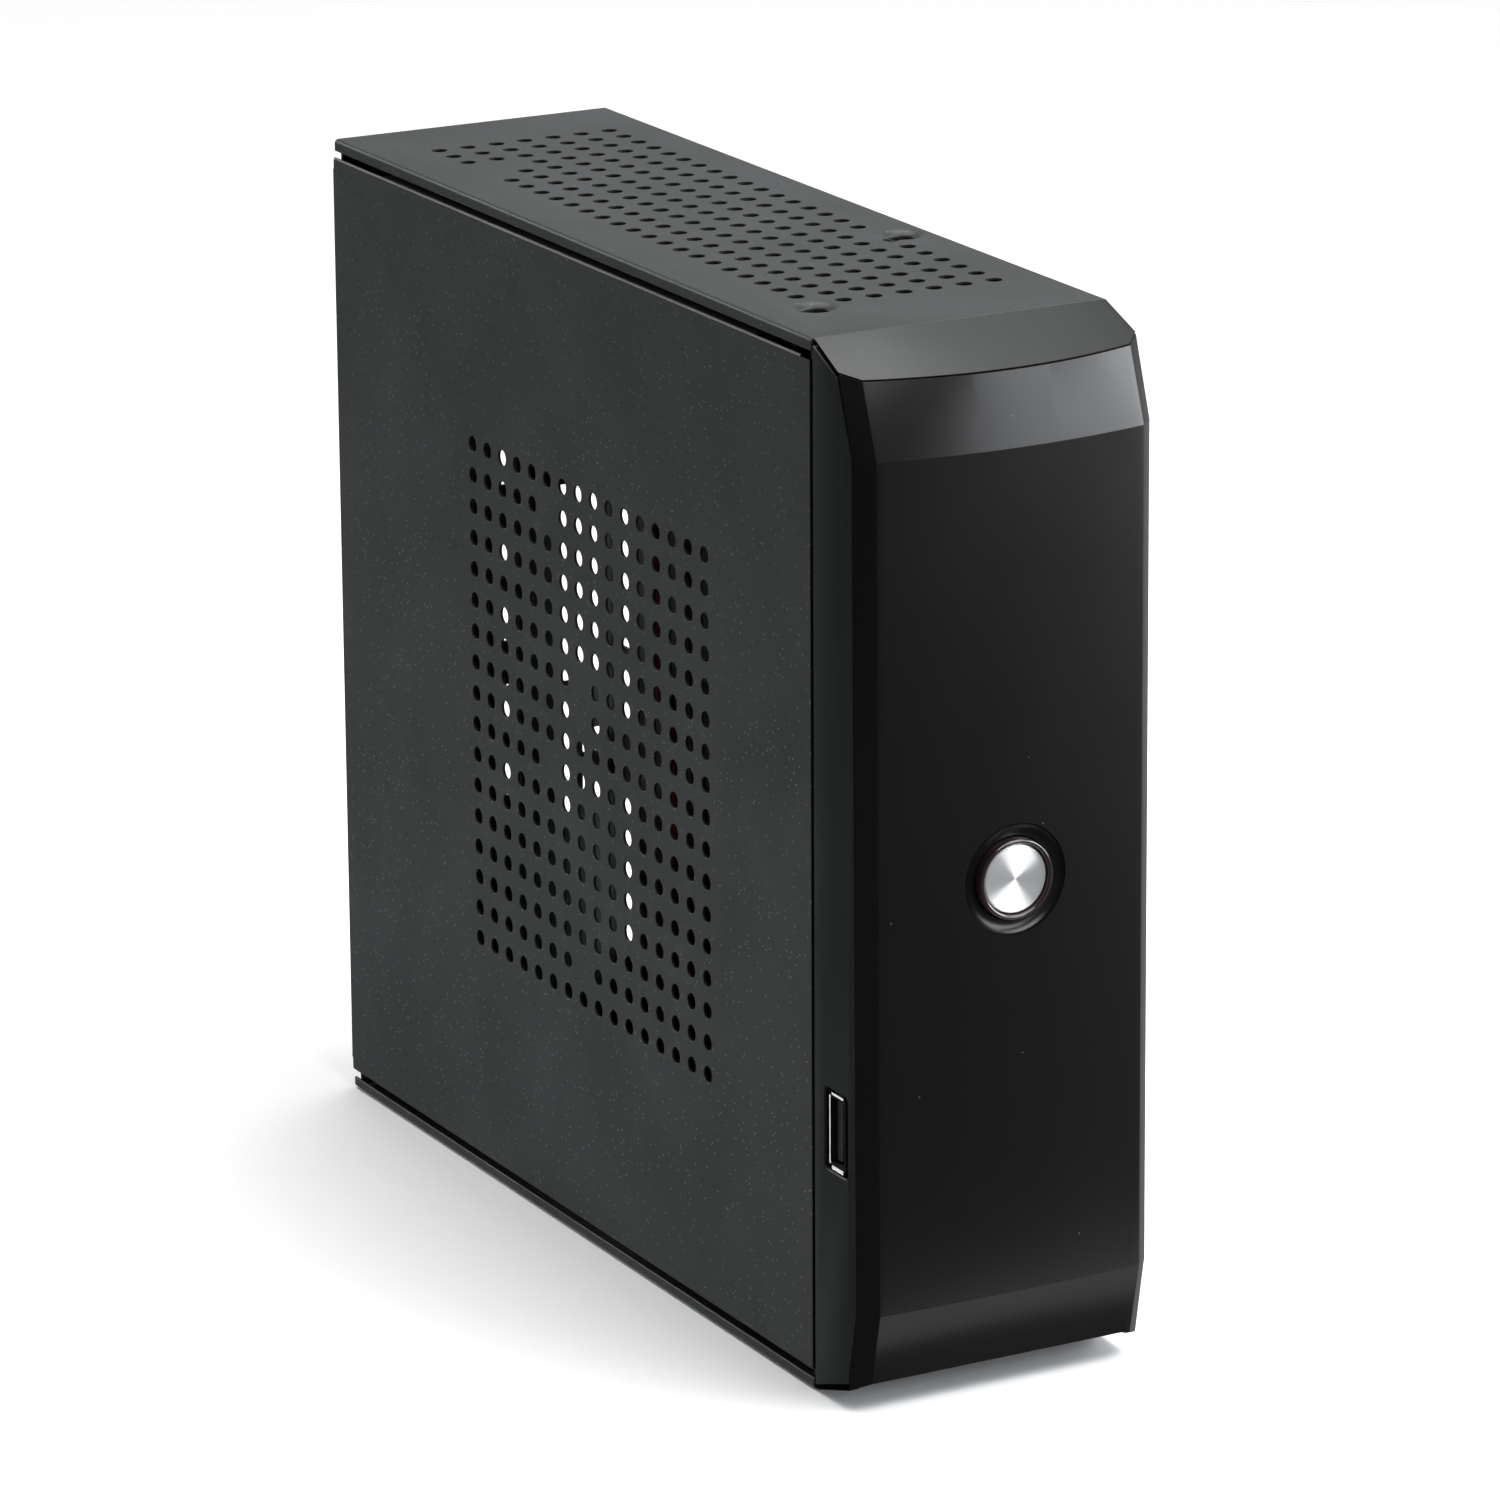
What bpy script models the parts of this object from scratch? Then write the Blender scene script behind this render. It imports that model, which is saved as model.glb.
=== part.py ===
"""Slim vertical mini PC: perforated sheet case, faceted front with one round button, parts inside.

Sizes are in millimetres in the case's own frame and become metres where objects are made:
x runs from the left face, y from the seam between front and sheet metal (+y to the back),
z up from the bottom face. The finished model stands on z = 0, with its front towards -Y.
"""
import math

import bmesh
import bpy
from mathutils import Vector

MM = 0.001
WIDTH = 59.4
HEIGHT = 193.0
DEPTH = 188.4
SHEET = 0.6
GAP = 0.3
INNER = SHEET + GAP
FRONT_REACH = 20.0
SCREW_REACH = 192.7
SEAM = (FRONT_REACH - SCREW_REACH) / 2

# Perforation, shared by the left cover and the top.
PITCH = 6.1
HOLE_SIDE = 2.84
COVER_COLUMNS, COVER_ROWS = 16, 17
COVER_FIRST_Y, COVER_FIRST_Z = 39.5, 47.65
COVER_BLANKS = {(10, 15), (10, 7), (8, 10), (8, 9), (8, 1)}
TOP_COLUMNS, TOP_ROWS = 7, 25
TOP_FIRST_X, TOP_FIRST_Y = 12.9, 22.6
TOP_BLANKS = {(0, 20), (0, 21), (1, 21), (6, 7), (0, 0)}
DIMPLES = ((12.0, 20.3), (53.4, 62.3))
DIMPLE_HOLE, DIMPLE_RADIUS, DIMPLE_DEPTH = 1.6, 3.9, 0.4

# Left cover and the returns of the top and bottom sheets that frame it.
COVER_LOW_Z, COVER_HIGH_Z = 3.3, 189.5
COVER_FRONT_Y, COVER_BACK_Y = 0.8, 189.9
TOP_RETURN, BOTTOM_RETURN = 2.6, 2.4
LIP_DEPTH = 4.0
LIP_Y = (20.0, 168.0)
FLANGE_WIDTH = 12.0
FLANGE_Z = (6.0, 187.0)

# Rear panel, its openings as ((low x, low z), (high x, high z)), and the screws that hold the cover.
REAR_Y = 186.5
PORT_WINDOWS = (
    ((38.6, 123.6), (50.3, 133.4)),
    ((43.7, 135.1), (50.3, 150.9)),
    ((33.9, 152.6), (50.3, 166.6)),
    ((36.0, 168.6), (50.3, 185.4)),
)
AIR_WINDOWS = (
    ((46.5, 78.0), (57.0, 118.5)),
    ((46.4, 50.5), (50.0, 74.5)),
    ((51.2, 51.5), (57.0, 58.5)),
    ((51.2, 62.5), (57.0, 67.5)),
)
SLIT_LOW, SLIT_HIGH, SLIT_PITCH, SLITS = (32.8, 56.2), (37.2, 63.2), 16.0, 5
COVER_SCREW_X = 8.5
COVER_SCREW_Z = (30.0, 163.0)
SHANK = 1.6
HEAD = 4.2

# Air slots near the rear edge of the right wall.
SLOT_Y = (179.5, 185.0)
SLOT_Z = ((20.5, 54.0), (66.3, 80.5), (84.5, 114.0))

# Sheet behind the front, and the back of the moulded front.
BULKHEAD_Y = 1.3
BACK_FRAME_LOW, BACK_FRAME_HIGH = (-2.3, 3.6), (-0.5, 189.4)

# Front: each row of the faceted plate is (side y, side z, front z, bow at the middle).
FRONT_ROWS = (
    (0.0, HEIGHT, HEIGHT, 0.0),
    (-9.3, 189.0, 187.9, 4.9),
    (-14.2, 174.4, 174.4, 2.8),
    (-15.4, 19.4, 19.4, 0.6),
    (-12.5, 4.1, 5.8, 0.0),
    (0.0, 0.0, 0.0, 0.0),
)
INWARD = ((0.0, -1.0), (0.75, -0.9), (1.0, -0.25), (1.0, 0.2), (0.85, 0.7), (0.0, 1.0))
CORNER = 3.0
PLATE = 2.0
RIM = 0.9
BOW_STEPS = 8
STRIP = 1.6
STRIP_OUTLINE = ((-0.3, 1.2), (-12.2, 5.3), (-15.1, 19.5), (-13.9, 174.3), (-9.0, 187.8), (-0.3, 191.8))

# Power button, on the middle of the front.
BUTTON_Z = HEIGHT / 2
BUTTON_FACE_Y = -19.3
BUTTON_RADIUS = 6.25
RING_INNER, RING_OUTER = 6.55, 7.4
RING_FACE_Y, RING_BACK_Y = -20.0, -12.5
DISH_FLOOR_Y = -18.1
DISH_RADIUS, DISH_DEPTH = 7.7, 2.4
PLUNGER_Y, NUB_Y = -17.4, -9.4

# USB socket in the left side strip.
USB_Y, USB_Z = -7.95, 51.1
USB_CUT_Y, USB_CUT_Z = 8.3, 15.2

# Mainboard, parallel to the right wall, and its parts.
BOARD_X = 50.2
BOARD_THICK = 1.6
BOARD_LOW = (15.6, 121.5)
BOARD_HIGH = (185.4, 189.0)
BOARD_HOLES = ((22.0, 126.5), (22.0, 184.0), (161.0, 126.5), (161.0, 184.0))
SOLDER = BOARD_X - GAP
FAN_CENTRE = (27.0, 95.0, 159.0)
FAN_SIZE, FAN_DEPTH, FAN_BORE = 50.0, 10.0, 23.6
PORT_Y = 187.3
DRIVE_LOW, DRIVE_HIGH = (49.8, 22.0, 7.0), (56.8, 122.0, 76.9)
DRIVE_SCREW_Y = (40.0, 108.0)
WINDOW_LOW, WINDOW_HIGH = (22.0, 66.0), (42.0, 82.0)


def at(x, y, z):
    """A point of the case's frame, in world metres."""
    return Vector(((x - WIDTH / 2) * MM, (y + SEAM) * MM, z * MM))


def clear_scene():
    for obj in list(bpy.data.objects):
        bpy.data.objects.remove(obj, do_unlink=True)


def material(name, colour, roughness, metallic=0.0):
    mat = bpy.data.materials.new(name)
    mat.use_nodes = True
    shader = mat.node_tree.nodes["Principled BSDF"]
    shader.inputs["Base Color"].default_value = (*colour, 1.0)
    shader.inputs["Roughness"].default_value = roughness
    shader.inputs["Metallic"].default_value = metallic
    return mat


MATERIALS = {
    "black_sheet": ((0.035, 0.037, 0.037), 0.55, 0.0),
    "gloss_front": ((0.012, 0.012, 0.012), 0.12, 0.0),
    "matte_bezel": ((0.022, 0.023, 0.023), 0.50, 0.0),
    "spun_aluminium": ((0.78, 0.79, 0.80), 0.28, 1.0),
    "light_pipe": ((0.25, 0.05, 0.05), 0.30, 0.0),
    "steel": ((0.60, 0.60, 0.61), 0.35, 1.0),
    "black_plastic": ((0.020, 0.020, 0.022), 0.45, 0.0),
    "white_plastic": ((0.80, 0.79, 0.76), 0.45, 0.0),
    "board_green": ((0.010, 0.050, 0.022), 0.40, 0.0),
    "chip_black": ((0.025, 0.025, 0.028), 0.40, 0.0),
    "heatsink_aluminium": ((0.62, 0.63, 0.65), 0.40, 1.0),
    "brass": ((0.70, 0.52, 0.24), 0.30, 1.0),
    "cable_black": ((0.020, 0.020, 0.020), 0.55, 0.0),
    "cable_red": ((0.45, 0.02, 0.02), 0.50, 0.0),
}


def finish(bm, name, mat, origin):
    """Turn a bmesh drawn in world metres into a named object with its own origin."""
    bmesh.ops.recalc_face_normals(bm, faces=bm.faces)
    bmesh.ops.translate(bm, verts=bm.verts, vec=-origin)
    mesh = bpy.data.meshes.new(name)
    bm.to_mesh(mesh)
    bm.free()
    obj = bpy.data.objects.new(name, mesh)
    obj.location = origin
    bpy.context.collection.objects.link(obj)
    if mat is None:
        obj.hide_render = True
        obj.display_type = "WIRE"
    else:
        mesh.materials.append(mat)
    return obj


def smooth(obj, degrees=35):
    obj.data.shade_smooth()
    obj.data.set_sharp_from_angle(angle=math.radians(degrees))
    return obj


def add_box(bm, low, high):
    corners = [at(x, y, z) for x in (low[0], high[0]) for y in (low[1], high[1]) for z in (low[2], high[2])]
    verts = [bm.verts.new(corner) for corner in corners]
    for face in ((0, 1, 3, 2), (4, 6, 7, 5), (0, 4, 5, 1), (2, 3, 7, 6), (0, 2, 6, 4), (1, 5, 7, 3)):
        bm.faces.new([verts[index] for index in face])


def box(name, low, high, mat):
    bm = bmesh.new()
    add_box(bm, low, high)
    return finish(bm, name, mat, (at(*low) + at(*high)) / 2)


def prism(name, outline, axis, start, end, mat):
    """Extrude an outline along x or y. Its points are the other two coordinates, in order."""
    def spot(point, along):
        return at(along, *point) if axis == "x" else at(point[0], along, point[1])

    bm = bmesh.new()
    rings = [[bm.verts.new(spot(point, along)) for point in outline] for along in (start, end)]
    bm.faces.new(rings[0])
    bm.faces.new(reversed(rings[1]))
    for index in range(len(outline)):
        after = (index + 1) % len(outline)
        bm.faces.new((rings[0][index], rings[0][after], rings[1][after], rings[1][index]))
    return finish(bm, name, mat, rings[0][0].co.copy())


def turned(name, centre, axis, profile, mat, sides=16, tube=False):
    """Turn a profile of (radius, distance) round an axis through centre. A tube closes on itself."""
    along = Vector([1.0 if letter == axis else 0.0 for letter in "xyz"])
    across = along.orthogonal().normalized()
    third = along.cross(across)
    bm = bmesh.new()
    rings = []
    for radius, distance in profile:
        ring = []
        for step in range(sides):
            angle = math.tau * (step + 0.5) / sides
            spoke = across * math.cos(angle) + third * math.sin(angle)
            ring.append(bm.verts.new(at(*centre) + (along * distance + spoke * radius) * MM))
        rings.append(ring)
    if tube:
        rings.append(rings[0])
    else:
        bm.faces.new(rings[0])
        bm.faces.new(reversed(rings[-1]))
    for near, far in zip(rings, rings[1:]):
        for step in range(sides):
            after = (step + 1) % sides
            bm.faces.new((near[step], near[after], far[after], far[step]))
    return smooth(finish(bm, name, mat, at(*centre)))


def combine(obj, tools, operation):
    """Cut tools out of an object, or join them to it, with one Boolean modifier each."""
    for tool in tools:
        modifier = obj.modifiers.new(tool.name, "BOOLEAN")
        modifier.operation = operation
        modifier.object = tool
    return obj


def cut_boxes(obj, boxes):
    """Cut several boxes that don't touch each other out of an object."""
    bm = bmesh.new()
    for low, high in boxes:
        add_box(bm, low, high)
    cutter = finish(bm, obj.name + "_windows", None, obj.location.copy())
    return combine(obj, [cutter], "DIFFERENCE")


def cut_holes(obj, centres, axis, radius, length, sides=8):
    for number, centre in enumerate(centres, 1):
        profile = ((radius, -length / 2), (radius, length / 2))
        cutter = turned(f"{obj.name}_hole_{number}", centre, axis, profile, None, sides)
        combine(obj, [cutter], "DIFFERENCE")
    return obj


def hole_lines(first, count):
    """The two edges of each square hole along a row of evenly spaced holes."""
    lines = []
    for index in range(count):
        centre = first + index * PITCH
        lines += [centre - HOLE_SIDE / 2, centre + HOLE_SIDE / 2]
    return lines


def perforated(name, us, vs, blanks, place, mat, origin):
    """A plate on a grid of lines. Every odd cell is a hole, except the blanks."""
    def solid(i, j):
        inside = 0 <= i < len(us) - 1 and 0 <= j < len(vs) - 1
        hole = i % 2 == 1 and j % 2 == 1 and ((i - 1) // 2, (j - 1) // 2) not in blanks
        return inside and not hole

    bm = bmesh.new()
    skins = [[[bm.verts.new(place(u, v, skin)) for v in vs] for u in us] for skin in (0, 1)]
    for i in range(len(us) - 1):
        for j in range(len(vs) - 1):
            if not solid(i, j):
                continue
            corners = ((i, j), (i + 1, j), (i + 1, j + 1), (i, j + 1))
            neighbours = ((i, j - 1), (i + 1, j), (i, j + 1), (i - 1, j))
            bm.faces.new([skins[0][a][b] for a, b in corners])
            bm.faces.new([skins[1][a][b] for a, b in reversed(corners)])
            for side, neighbour in enumerate(neighbours):
                if solid(*neighbour):
                    continue
                (a, b), (c, d) = corners[side], corners[(side + 1) % 4]
                bm.faces.new((skins[0][c][d], skins[0][a][b], skins[1][a][b], skins[1][c][d]))
    return finish(bm, name, mat, origin)


def smooth_route(points, steps=5):
    """Points along a smooth curve through the route's own points (Catmull-Rom)."""
    route = [points[0], *points, points[-1]]
    path = []
    for a, b, c, d in zip(route, route[1:], route[2:], route[3:]):
        a, b, c, d = Vector(a), Vector(b), Vector(c), Vector(d)
        for step in range(steps):
            t = step / steps
            path.append((2 * b + (c - a) * t + (2 * a - 5 * b + 4 * c - d) * t ** 2
                         + (3 * b - a - 3 * c + d) * t ** 3) / 2)
    path.append(Vector(points[-1]))
    return path


def cable(name, points, radius, mat):
    path = smooth_route(points)
    curve = bpy.data.curves.new(name, "CURVE")
    curve.dimensions = "3D"
    curve.bevel_depth = radius * MM
    curve.bevel_resolution = 2
    curve.use_fill_caps = True
    spline = curve.splines.new("POLY")
    spline.points.add(len(path) - 1)
    for point, place in zip(spline.points, path):
        point.co = (*at(*place), 1.0)
    curve.materials.append(mat)
    obj = bpy.data.objects.new(name, curve)
    bpy.context.collection.objects.link(obj)
    return obj


def make_top_panel(mats):
    xs = [0.0, *hole_lines(TOP_FIRST_X, TOP_COLUMNS), WIDTH]
    ys = [GAP, *hole_lines(TOP_FIRST_Y, TOP_ROWS), DEPTH]

    def place(x, y, skin):
        return at(x, y, HEIGHT - skin * SHEET)

    panel = perforated("top_panel", xs, ys, TOP_BLANKS, place, mats["black_sheet"], at(0, 0, HEIGHT))
    edge = box("top_return", (0, GAP, HEIGHT - TOP_RETURN), (SHEET, DEPTH, HEIGHT - SHEET / 2), None)
    combine(panel, [edge], "UNION")
    profile = ((DIMPLE_HOLE, -2 * SHEET), (DIMPLE_HOLE, -DIMPLE_DEPTH), (DIMPLE_RADIUS + GAP, GAP))
    for number, (x, y) in enumerate(DIMPLES, 1):
        dimple = turned(f"dimple_{number}", (x, y, HEIGHT), "z", profile, None, 12)
        combine(panel, [dimple], "DIFFERENCE")


def make_bottom_panel(mats):
    outline = ((0, 0), (WIDTH, 0), (WIDTH, SHEET), (SHEET, SHEET), (SHEET, BOTTOM_RETURN),
               (0, BOTTOM_RETURN))
    prism("bottom_panel", outline, "y", GAP, DEPTH, mats["black_sheet"])


def make_right_panel(mats):
    panel = box("right_panel", (WIDTH - SHEET, GAP, INNER), (WIDTH, DEPTH, HEIGHT - INNER),
                mats["black_sheet"])
    cut_boxes(panel, [((WIDTH - 3, SLOT_Y[0], low), (WIDTH + 2, SLOT_Y[1], high)) for low, high in SLOT_Z])


def make_rear_panel(mats):
    panel = box("rear_panel", (INNER, REAR_Y, INNER), (WIDTH - INNER, REAR_Y + SHEET, HEIGHT - INNER),
                mats["black_sheet"])
    windows = [*PORT_WINDOWS, *AIR_WINDOWS]
    for step in range(SLITS):
        windows.append(tuple((x, z + step * SLIT_PITCH) for x, z in (SLIT_LOW, SLIT_HIGH)))
    cut_boxes(panel, [((x0, REAR_Y - 2, z0), (x1, REAR_Y + 3, z1)) for (x0, z0), (x1, z1) in windows])
    centres = [(COVER_SCREW_X, REAR_Y, z) for z in COVER_SCREW_Z]
    cut_holes(panel, centres, "y", SHANK + 0.5, 6.0)


def make_left_cover(mats):
    ys = [COVER_FRONT_Y, *hole_lines(COVER_FIRST_Y, COVER_COLUMNS), COVER_BACK_Y]
    zs = [COVER_LOW_Z, *hole_lines(COVER_FIRST_Z, COVER_ROWS), COVER_HIGH_Z]

    def place(y, z, skin):
        return at(skin * SHEET, y, z)

    cover = perforated("left_cover", ys, zs, COVER_BLANKS, place, mats["black_sheet"],
                       at(0, DEPTH / 2, HEIGHT / 2))
    lips = []
    for number, z in enumerate((COVER_LOW_Z, COVER_HIGH_Z - SHEET)):
        lips.append(box(f"lip_{number}", (SHEET / 2, LIP_Y[0], z), (LIP_DEPTH, LIP_Y[1], z + SHEET), None))
    flange = box("cover_flange", (SHEET / 2, COVER_BACK_Y - SHEET, FLANGE_Z[0]),
                 (FLANGE_WIDTH, COVER_BACK_Y, FLANGE_Z[1]), None)
    combine(cover, [*lips, flange], "UNION")
    half = SHANK + 0.6
    slots = [((COVER_SCREW_X - half, COVER_BACK_Y - 3, z - half), (FLANGE_WIDTH + 3, COVER_BACK_Y + 2, z + half))
             for z in COVER_SCREW_Z]
    cut_boxes(cover, slots)


def make_front_bulkhead(mats):
    bulkhead = box("front_bulkhead", (INNER, BULKHEAD_Y, INNER),
                   (WIDTH - INNER, BULKHEAD_Y + SHEET, HEIGHT - INNER), mats["black_sheet"])
    low, high = WINDOW_LOW, WINDOW_HIGH
    cut_boxes(bulkhead, [((low[0], -1, low[1]), (high[0], 4, high[1]))])


def front_point(row, step):
    """Outer point of the faceted plate. Steps -1 and BOW_STEPS + 1 are its side edges."""
    side_y, side_z, front_z, bow = FRONT_ROWS[row]
    at_seam = side_y == 0.0
    if step < 0 or step > BOW_STEPS:
        inset = 0.5 if at_seam else 0.0
        return Vector((inset if step < 0 else WIDTH - inset, side_y, side_z))
    across = 2 * step / BOW_STEPS - 1
    corner = 0.0 if at_seam else CORNER
    x = WIDTH / 2 + across * (WIDTH / 2 - CORNER)
    return Vector((x, side_y - corner - bow * (1 - across ** 2), front_z))


def inner_point(row, step):
    """The matching point of the plate's inside."""
    outer = front_point(row, step)
    back, up = INWARD[row]
    if step < 0 or step > BOW_STEPS:
        edge = 2.0 if step < 0 else WIDTH - 2.0
        rim = RIM * up if row in (0, 1, 5) else 0.0
        return Vector((edge, outer.y, outer.z + rim))
    squeeze = 1 - 0.8 / (WIDTH / 2 - CORNER)
    x = WIDTH / 2 + (outer.x - WIDTH / 2) * squeeze
    return Vector((x, outer.y + back * PLATE, outer.z + up * PLATE))


def make_front_plate(mats):
    bm = bmesh.new()
    steps = range(-1, BOW_STEPS + 2)
    rows = range(len(FRONT_ROWS))
    outer = [[bm.verts.new(at(*front_point(row, step))) for step in steps] for row in rows]
    inner = [[bm.verts.new(at(*inner_point(row, step))) for step in steps] for row in rows]
    last_row, last_step = len(outer) - 1, len(outer[0]) - 1
    for row in range(last_row):
        for step in range(last_step):
            for skin in (outer, inner):
                near, far = skin[row], skin[row + 1]
                bm.faces.new((near[step], near[step + 1], far[step + 1], far[step]))
        for step in (0, last_step):
            bm.faces.new((outer[row][step], outer[row + 1][step], inner[row + 1][step], inner[row][step]))
    for row in (0, last_row):
        for step in range(last_step):
            near, far = outer[row], inner[row]
            bm.faces.new((near[step], near[step + 1], far[step + 1], far[step]))
    plate = finish(bm, "front_plate", mats["gloss_front"], at(WIDTH / 2, 0, BUTTON_Z))
    profile = ((DISH_RADIUS, 3.0), (DISH_RADIUS, 0.0), (DISH_RADIUS + 2 * DISH_DEPTH, -DISH_DEPTH))
    dish = turned("dish_cutter", (WIDTH / 2, DISH_FLOOR_Y, BUTTON_Z), "y", profile, None, 20)
    combine(plate, [dish], "DIFFERENCE")
    smooth(plate, 12)


def make_bezel(mats):
    mat = mats["matte_bezel"]
    left = prism("bezel_left_strip", STRIP_OUTLINE, "x", 0.0, STRIP, mat)
    low = (-2, USB_Y - USB_CUT_Y / 2, USB_Z - USB_CUT_Z / 2)
    high = (4, USB_Y + USB_CUT_Y / 2, USB_Z + USB_CUT_Z / 2)
    cut_boxes(left, [(low, high)])
    prism("bezel_right_strip", STRIP_OUTLINE, "x", WIDTH - STRIP, WIDTH, mat)
    back = box("bezel_back_frame", (STRIP + GAP, *BACK_FRAME_LOW), (WIDTH - STRIP - GAP, *BACK_FRAME_HIGH),
               mat)
    low, high = WINDOW_LOW, WINDOW_HIGH
    cut_boxes(back, [((low[0], -4, low[1]), (high[0], 1, high[1]))])


def make_power_button(mats):
    x, z = WIDTH / 2, BUTTON_Z
    cap = ((BUTTON_RADIUS - 0.3, 0.0), (BUTTON_RADIUS, 0.3), (BUTTON_RADIUS, 1.6))
    turned("power_button_cap", (x, BUTTON_FACE_Y, z), "y", cap, mats["spun_aluminium"], 24)
    stem = ((5.5, 0.0), (5.5, 1.0), (3.0, 1.0), (3.0, NUB_Y - GAP - PLUNGER_Y))
    turned("button_plunger", (x, PLUNGER_Y, z), "y", stem, mats["white_plastic"])
    turned("switch_nub", (x, NUB_Y, z), "y", ((1.4, 0.0), (1.4, 2.5)), mats["black_plastic"], 12)
    front = RING_FACE_Y - RING_BACK_Y
    ring = ((RING_INNER, front), (RING_OUTER, front), (RING_OUTER, -4.1), (9.2, -4.1), (9.2, -3.1),
            (RING_OUTER, -3.1), (RING_OUTER, 0.0), (RING_INNER, 0.0))
    turned("light_ring", (x, RING_BACK_Y, z), "y", ring, mats["light_pipe"], 24, tube=True)
    box("switch_board", (x - 12, -3.9, z - 13), (x + 12, -2.7, z + 13), mats["board_green"])
    switch = box("tact_switch", (x - 3, -7.7, z - 3), (x + 3, -4.2, z + 3), mats["black_plastic"])
    cut_holes(switch, [(x, -7.7, z)], "y", 1.8, 4.6, 12)
    for number, side in enumerate((-1, 1), 1):
        middle = x + side * 6.8
        box(f"status_led_{number}", (middle - 1, -5.2, z - 0.6), (middle + 1, -4.2, z + 0.6),
            mats["light_pipe"])


def make_front_usb(mats):
    half_y, half_z, wall = 2.85, 6.55, 0.4
    shell = box("usb_front_shell", (0.9, USB_Y - half_y, USB_Z - half_z),
                (13.5, USB_Y + half_y, USB_Z + half_z), mats["steel"])
    cut_boxes(shell, [((-1, USB_Y - half_y + wall, USB_Z - half_z + wall),
                       (13.1, USB_Y + half_y - wall, USB_Z + half_z - wall))])
    box("usb_front_tongue", (1.3, USB_Y - 0.3, USB_Z - 5.6), (12.8, USB_Y + 1.6, USB_Z + 5.6),
        mats["black_plastic"])
    box("usb_front_board", (2.2, -4.8, 40.0), (28.0, -3.4, 62.0), mats["board_green"])


def make_mainboard(mats):
    low = (BOARD_X, *BOARD_LOW)
    high = (BOARD_X + BOARD_THICK, *BOARD_HIGH)
    board = box("mainboard", low, high, mats["board_green"])
    cut_holes(board, [(BOARD_X, y, z) for y, z in BOARD_HOLES], "x", 2.0, 6.0)
    back = BOARD_X + BOARD_THICK
    length = WIDTH - SHEET - back - 2 * GAP
    for number, (y, z) in enumerate(BOARD_HOLES, 1):
        turned(f"board_standoff_{number}", (back + GAP, y, z), "x", ((2.8, 0.0), (2.8, length)),
               mats["brass"], 6)
        screw = ((2.6, -1.7), (2.6, 0.0), (1.5, 0.0), (1.5, 1.6))
        turned(f"board_screw_{number}", (SOLDER, y, z), "x", screw, mats["steel"], 8)


def make_heatsink(mats):
    base_x, foot_x, tip_x = 44.3, 47.3, 32.3
    low_z, fins, fin, spacing = 128.5, 11, 1.4, 5.66
    outline = [(foot_x, low_z)]
    for index in range(fins):
        z = low_z + index * spacing
        outline += [(tip_x, z), (tip_x, z + fin)]
        if index < fins - 1:
            outline += [(base_x, z + fin), (base_x, z + spacing)]
    outline.append((foot_x, low_z + (fins - 1) * spacing + fin))
    prism("heatsink", outline, "y", 65.0, 125.0, mats["heatsink_aluminium"])


def make_fan(mats):
    x, y, z = FAN_CENTRE
    half, deep = FAN_SIZE / 2, FAN_DEPTH / 2
    frame = box("fan_frame", (x - deep, y - half, z - half), (x + deep, y + half, z + half),
                mats["black_plastic"])
    bore = turned("fan_bore", FAN_CENTRE, "x", ((FAN_BORE, -8.0), (FAN_BORE, 8.0)), None, 24)
    combine(frame, [bore], "DIFFERENCE")
    hub = turned("fan_hub", FAN_CENTRE, "x", ((11.0, deep - 1.4), (11.0, deep)), None, 16)
    struts = []
    for number in range(3):
        strut = box(f"fan_strut_{number}", (x + deep - 1.2, y - 1.5, z + 9),
                    (x + deep - 0.2, y + 1.5, z + 24.3), None)
        turn_about_x(strut, FAN_CENTRE, math.tau * (number + 0.25) / 3)
        struts.append(strut)
    combine(frame, [hub, *struts], "UNION")

    rotor = turned("fan_rotor", FAN_CENTRE, "x", ((10.0, -4.4), (10.0, 3.2)), mats["black_plastic"], 16)
    blades = []
    for number in range(7):
        blade = box(f"fan_blade_{number}", (x - 0.45, y - 4.25, z + 9.3), (x + 0.45, y + 4.25, z + 22.6),
                    None)
        blade.location.x -= 0.6 * MM
        pitch_blade(blade, math.radians(35))
        turn_about_x(blade, FAN_CENTRE, math.tau * number / 7)
        blades.append(blade)
    combine(rotor, blades, "UNION")


def pitch_blade(obj, angle):
    """Twist a blade's mesh about its own vertical axis."""
    for vertex in obj.data.vertices:
        x, y = vertex.co.x, vertex.co.y
        vertex.co.x = x * math.cos(angle) - y * math.sin(angle)
        vertex.co.y = x * math.sin(angle) + y * math.cos(angle)


def turn_about_x(obj, centre, angle):
    """Turn an object about the line through centre along x."""
    hub = at(*centre)
    arm = obj.location - hub
    turned_y = arm.y * math.cos(angle) - arm.z * math.sin(angle)
    turned_z = arm.y * math.sin(angle) + arm.z * math.cos(angle)
    obj.location = hub + Vector((arm.x, turned_y, turned_z))
    obj.rotation_euler.x = angle


def make_board_parts(mats):
    chip, black, white = mats["chip_black"], mats["black_plastic"], mats["white_plastic"]
    box("cpu_package", (47.6, 78, 140), (SOLDER, 112, 174), chip)
    for number, z in enumerate((140, 157), 1):
        box(f"memory_chip_{number}", (48.7, 133, z), (SOLDER, 147, z + 11), chip)
    holder = box("coin_cell_holder", (46.9, 30, 150), (SOLDER, 54, 174), black)
    cut_holes(holder, [(46.9, 42, 162)], "x", 10.4, 4.0, 20)
    turned("coin_cell", (45.4, 42, 162), "x", ((9.6, 0.0), (10.0, 0.4), (10.0, 3.2)), mats["steel"], 20)
    box("sata_socket", (44.9, 140, 123.5), (SOLDER, 157, 129), black)
    box("drive_power_header", (44.9, 128, 123.5), (SOLDER, 137, 129), white)
    box("front_header", (43.9, 26, 124), (SOLDER, 42, 134), black)
    make_dc_jack(mats)


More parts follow.
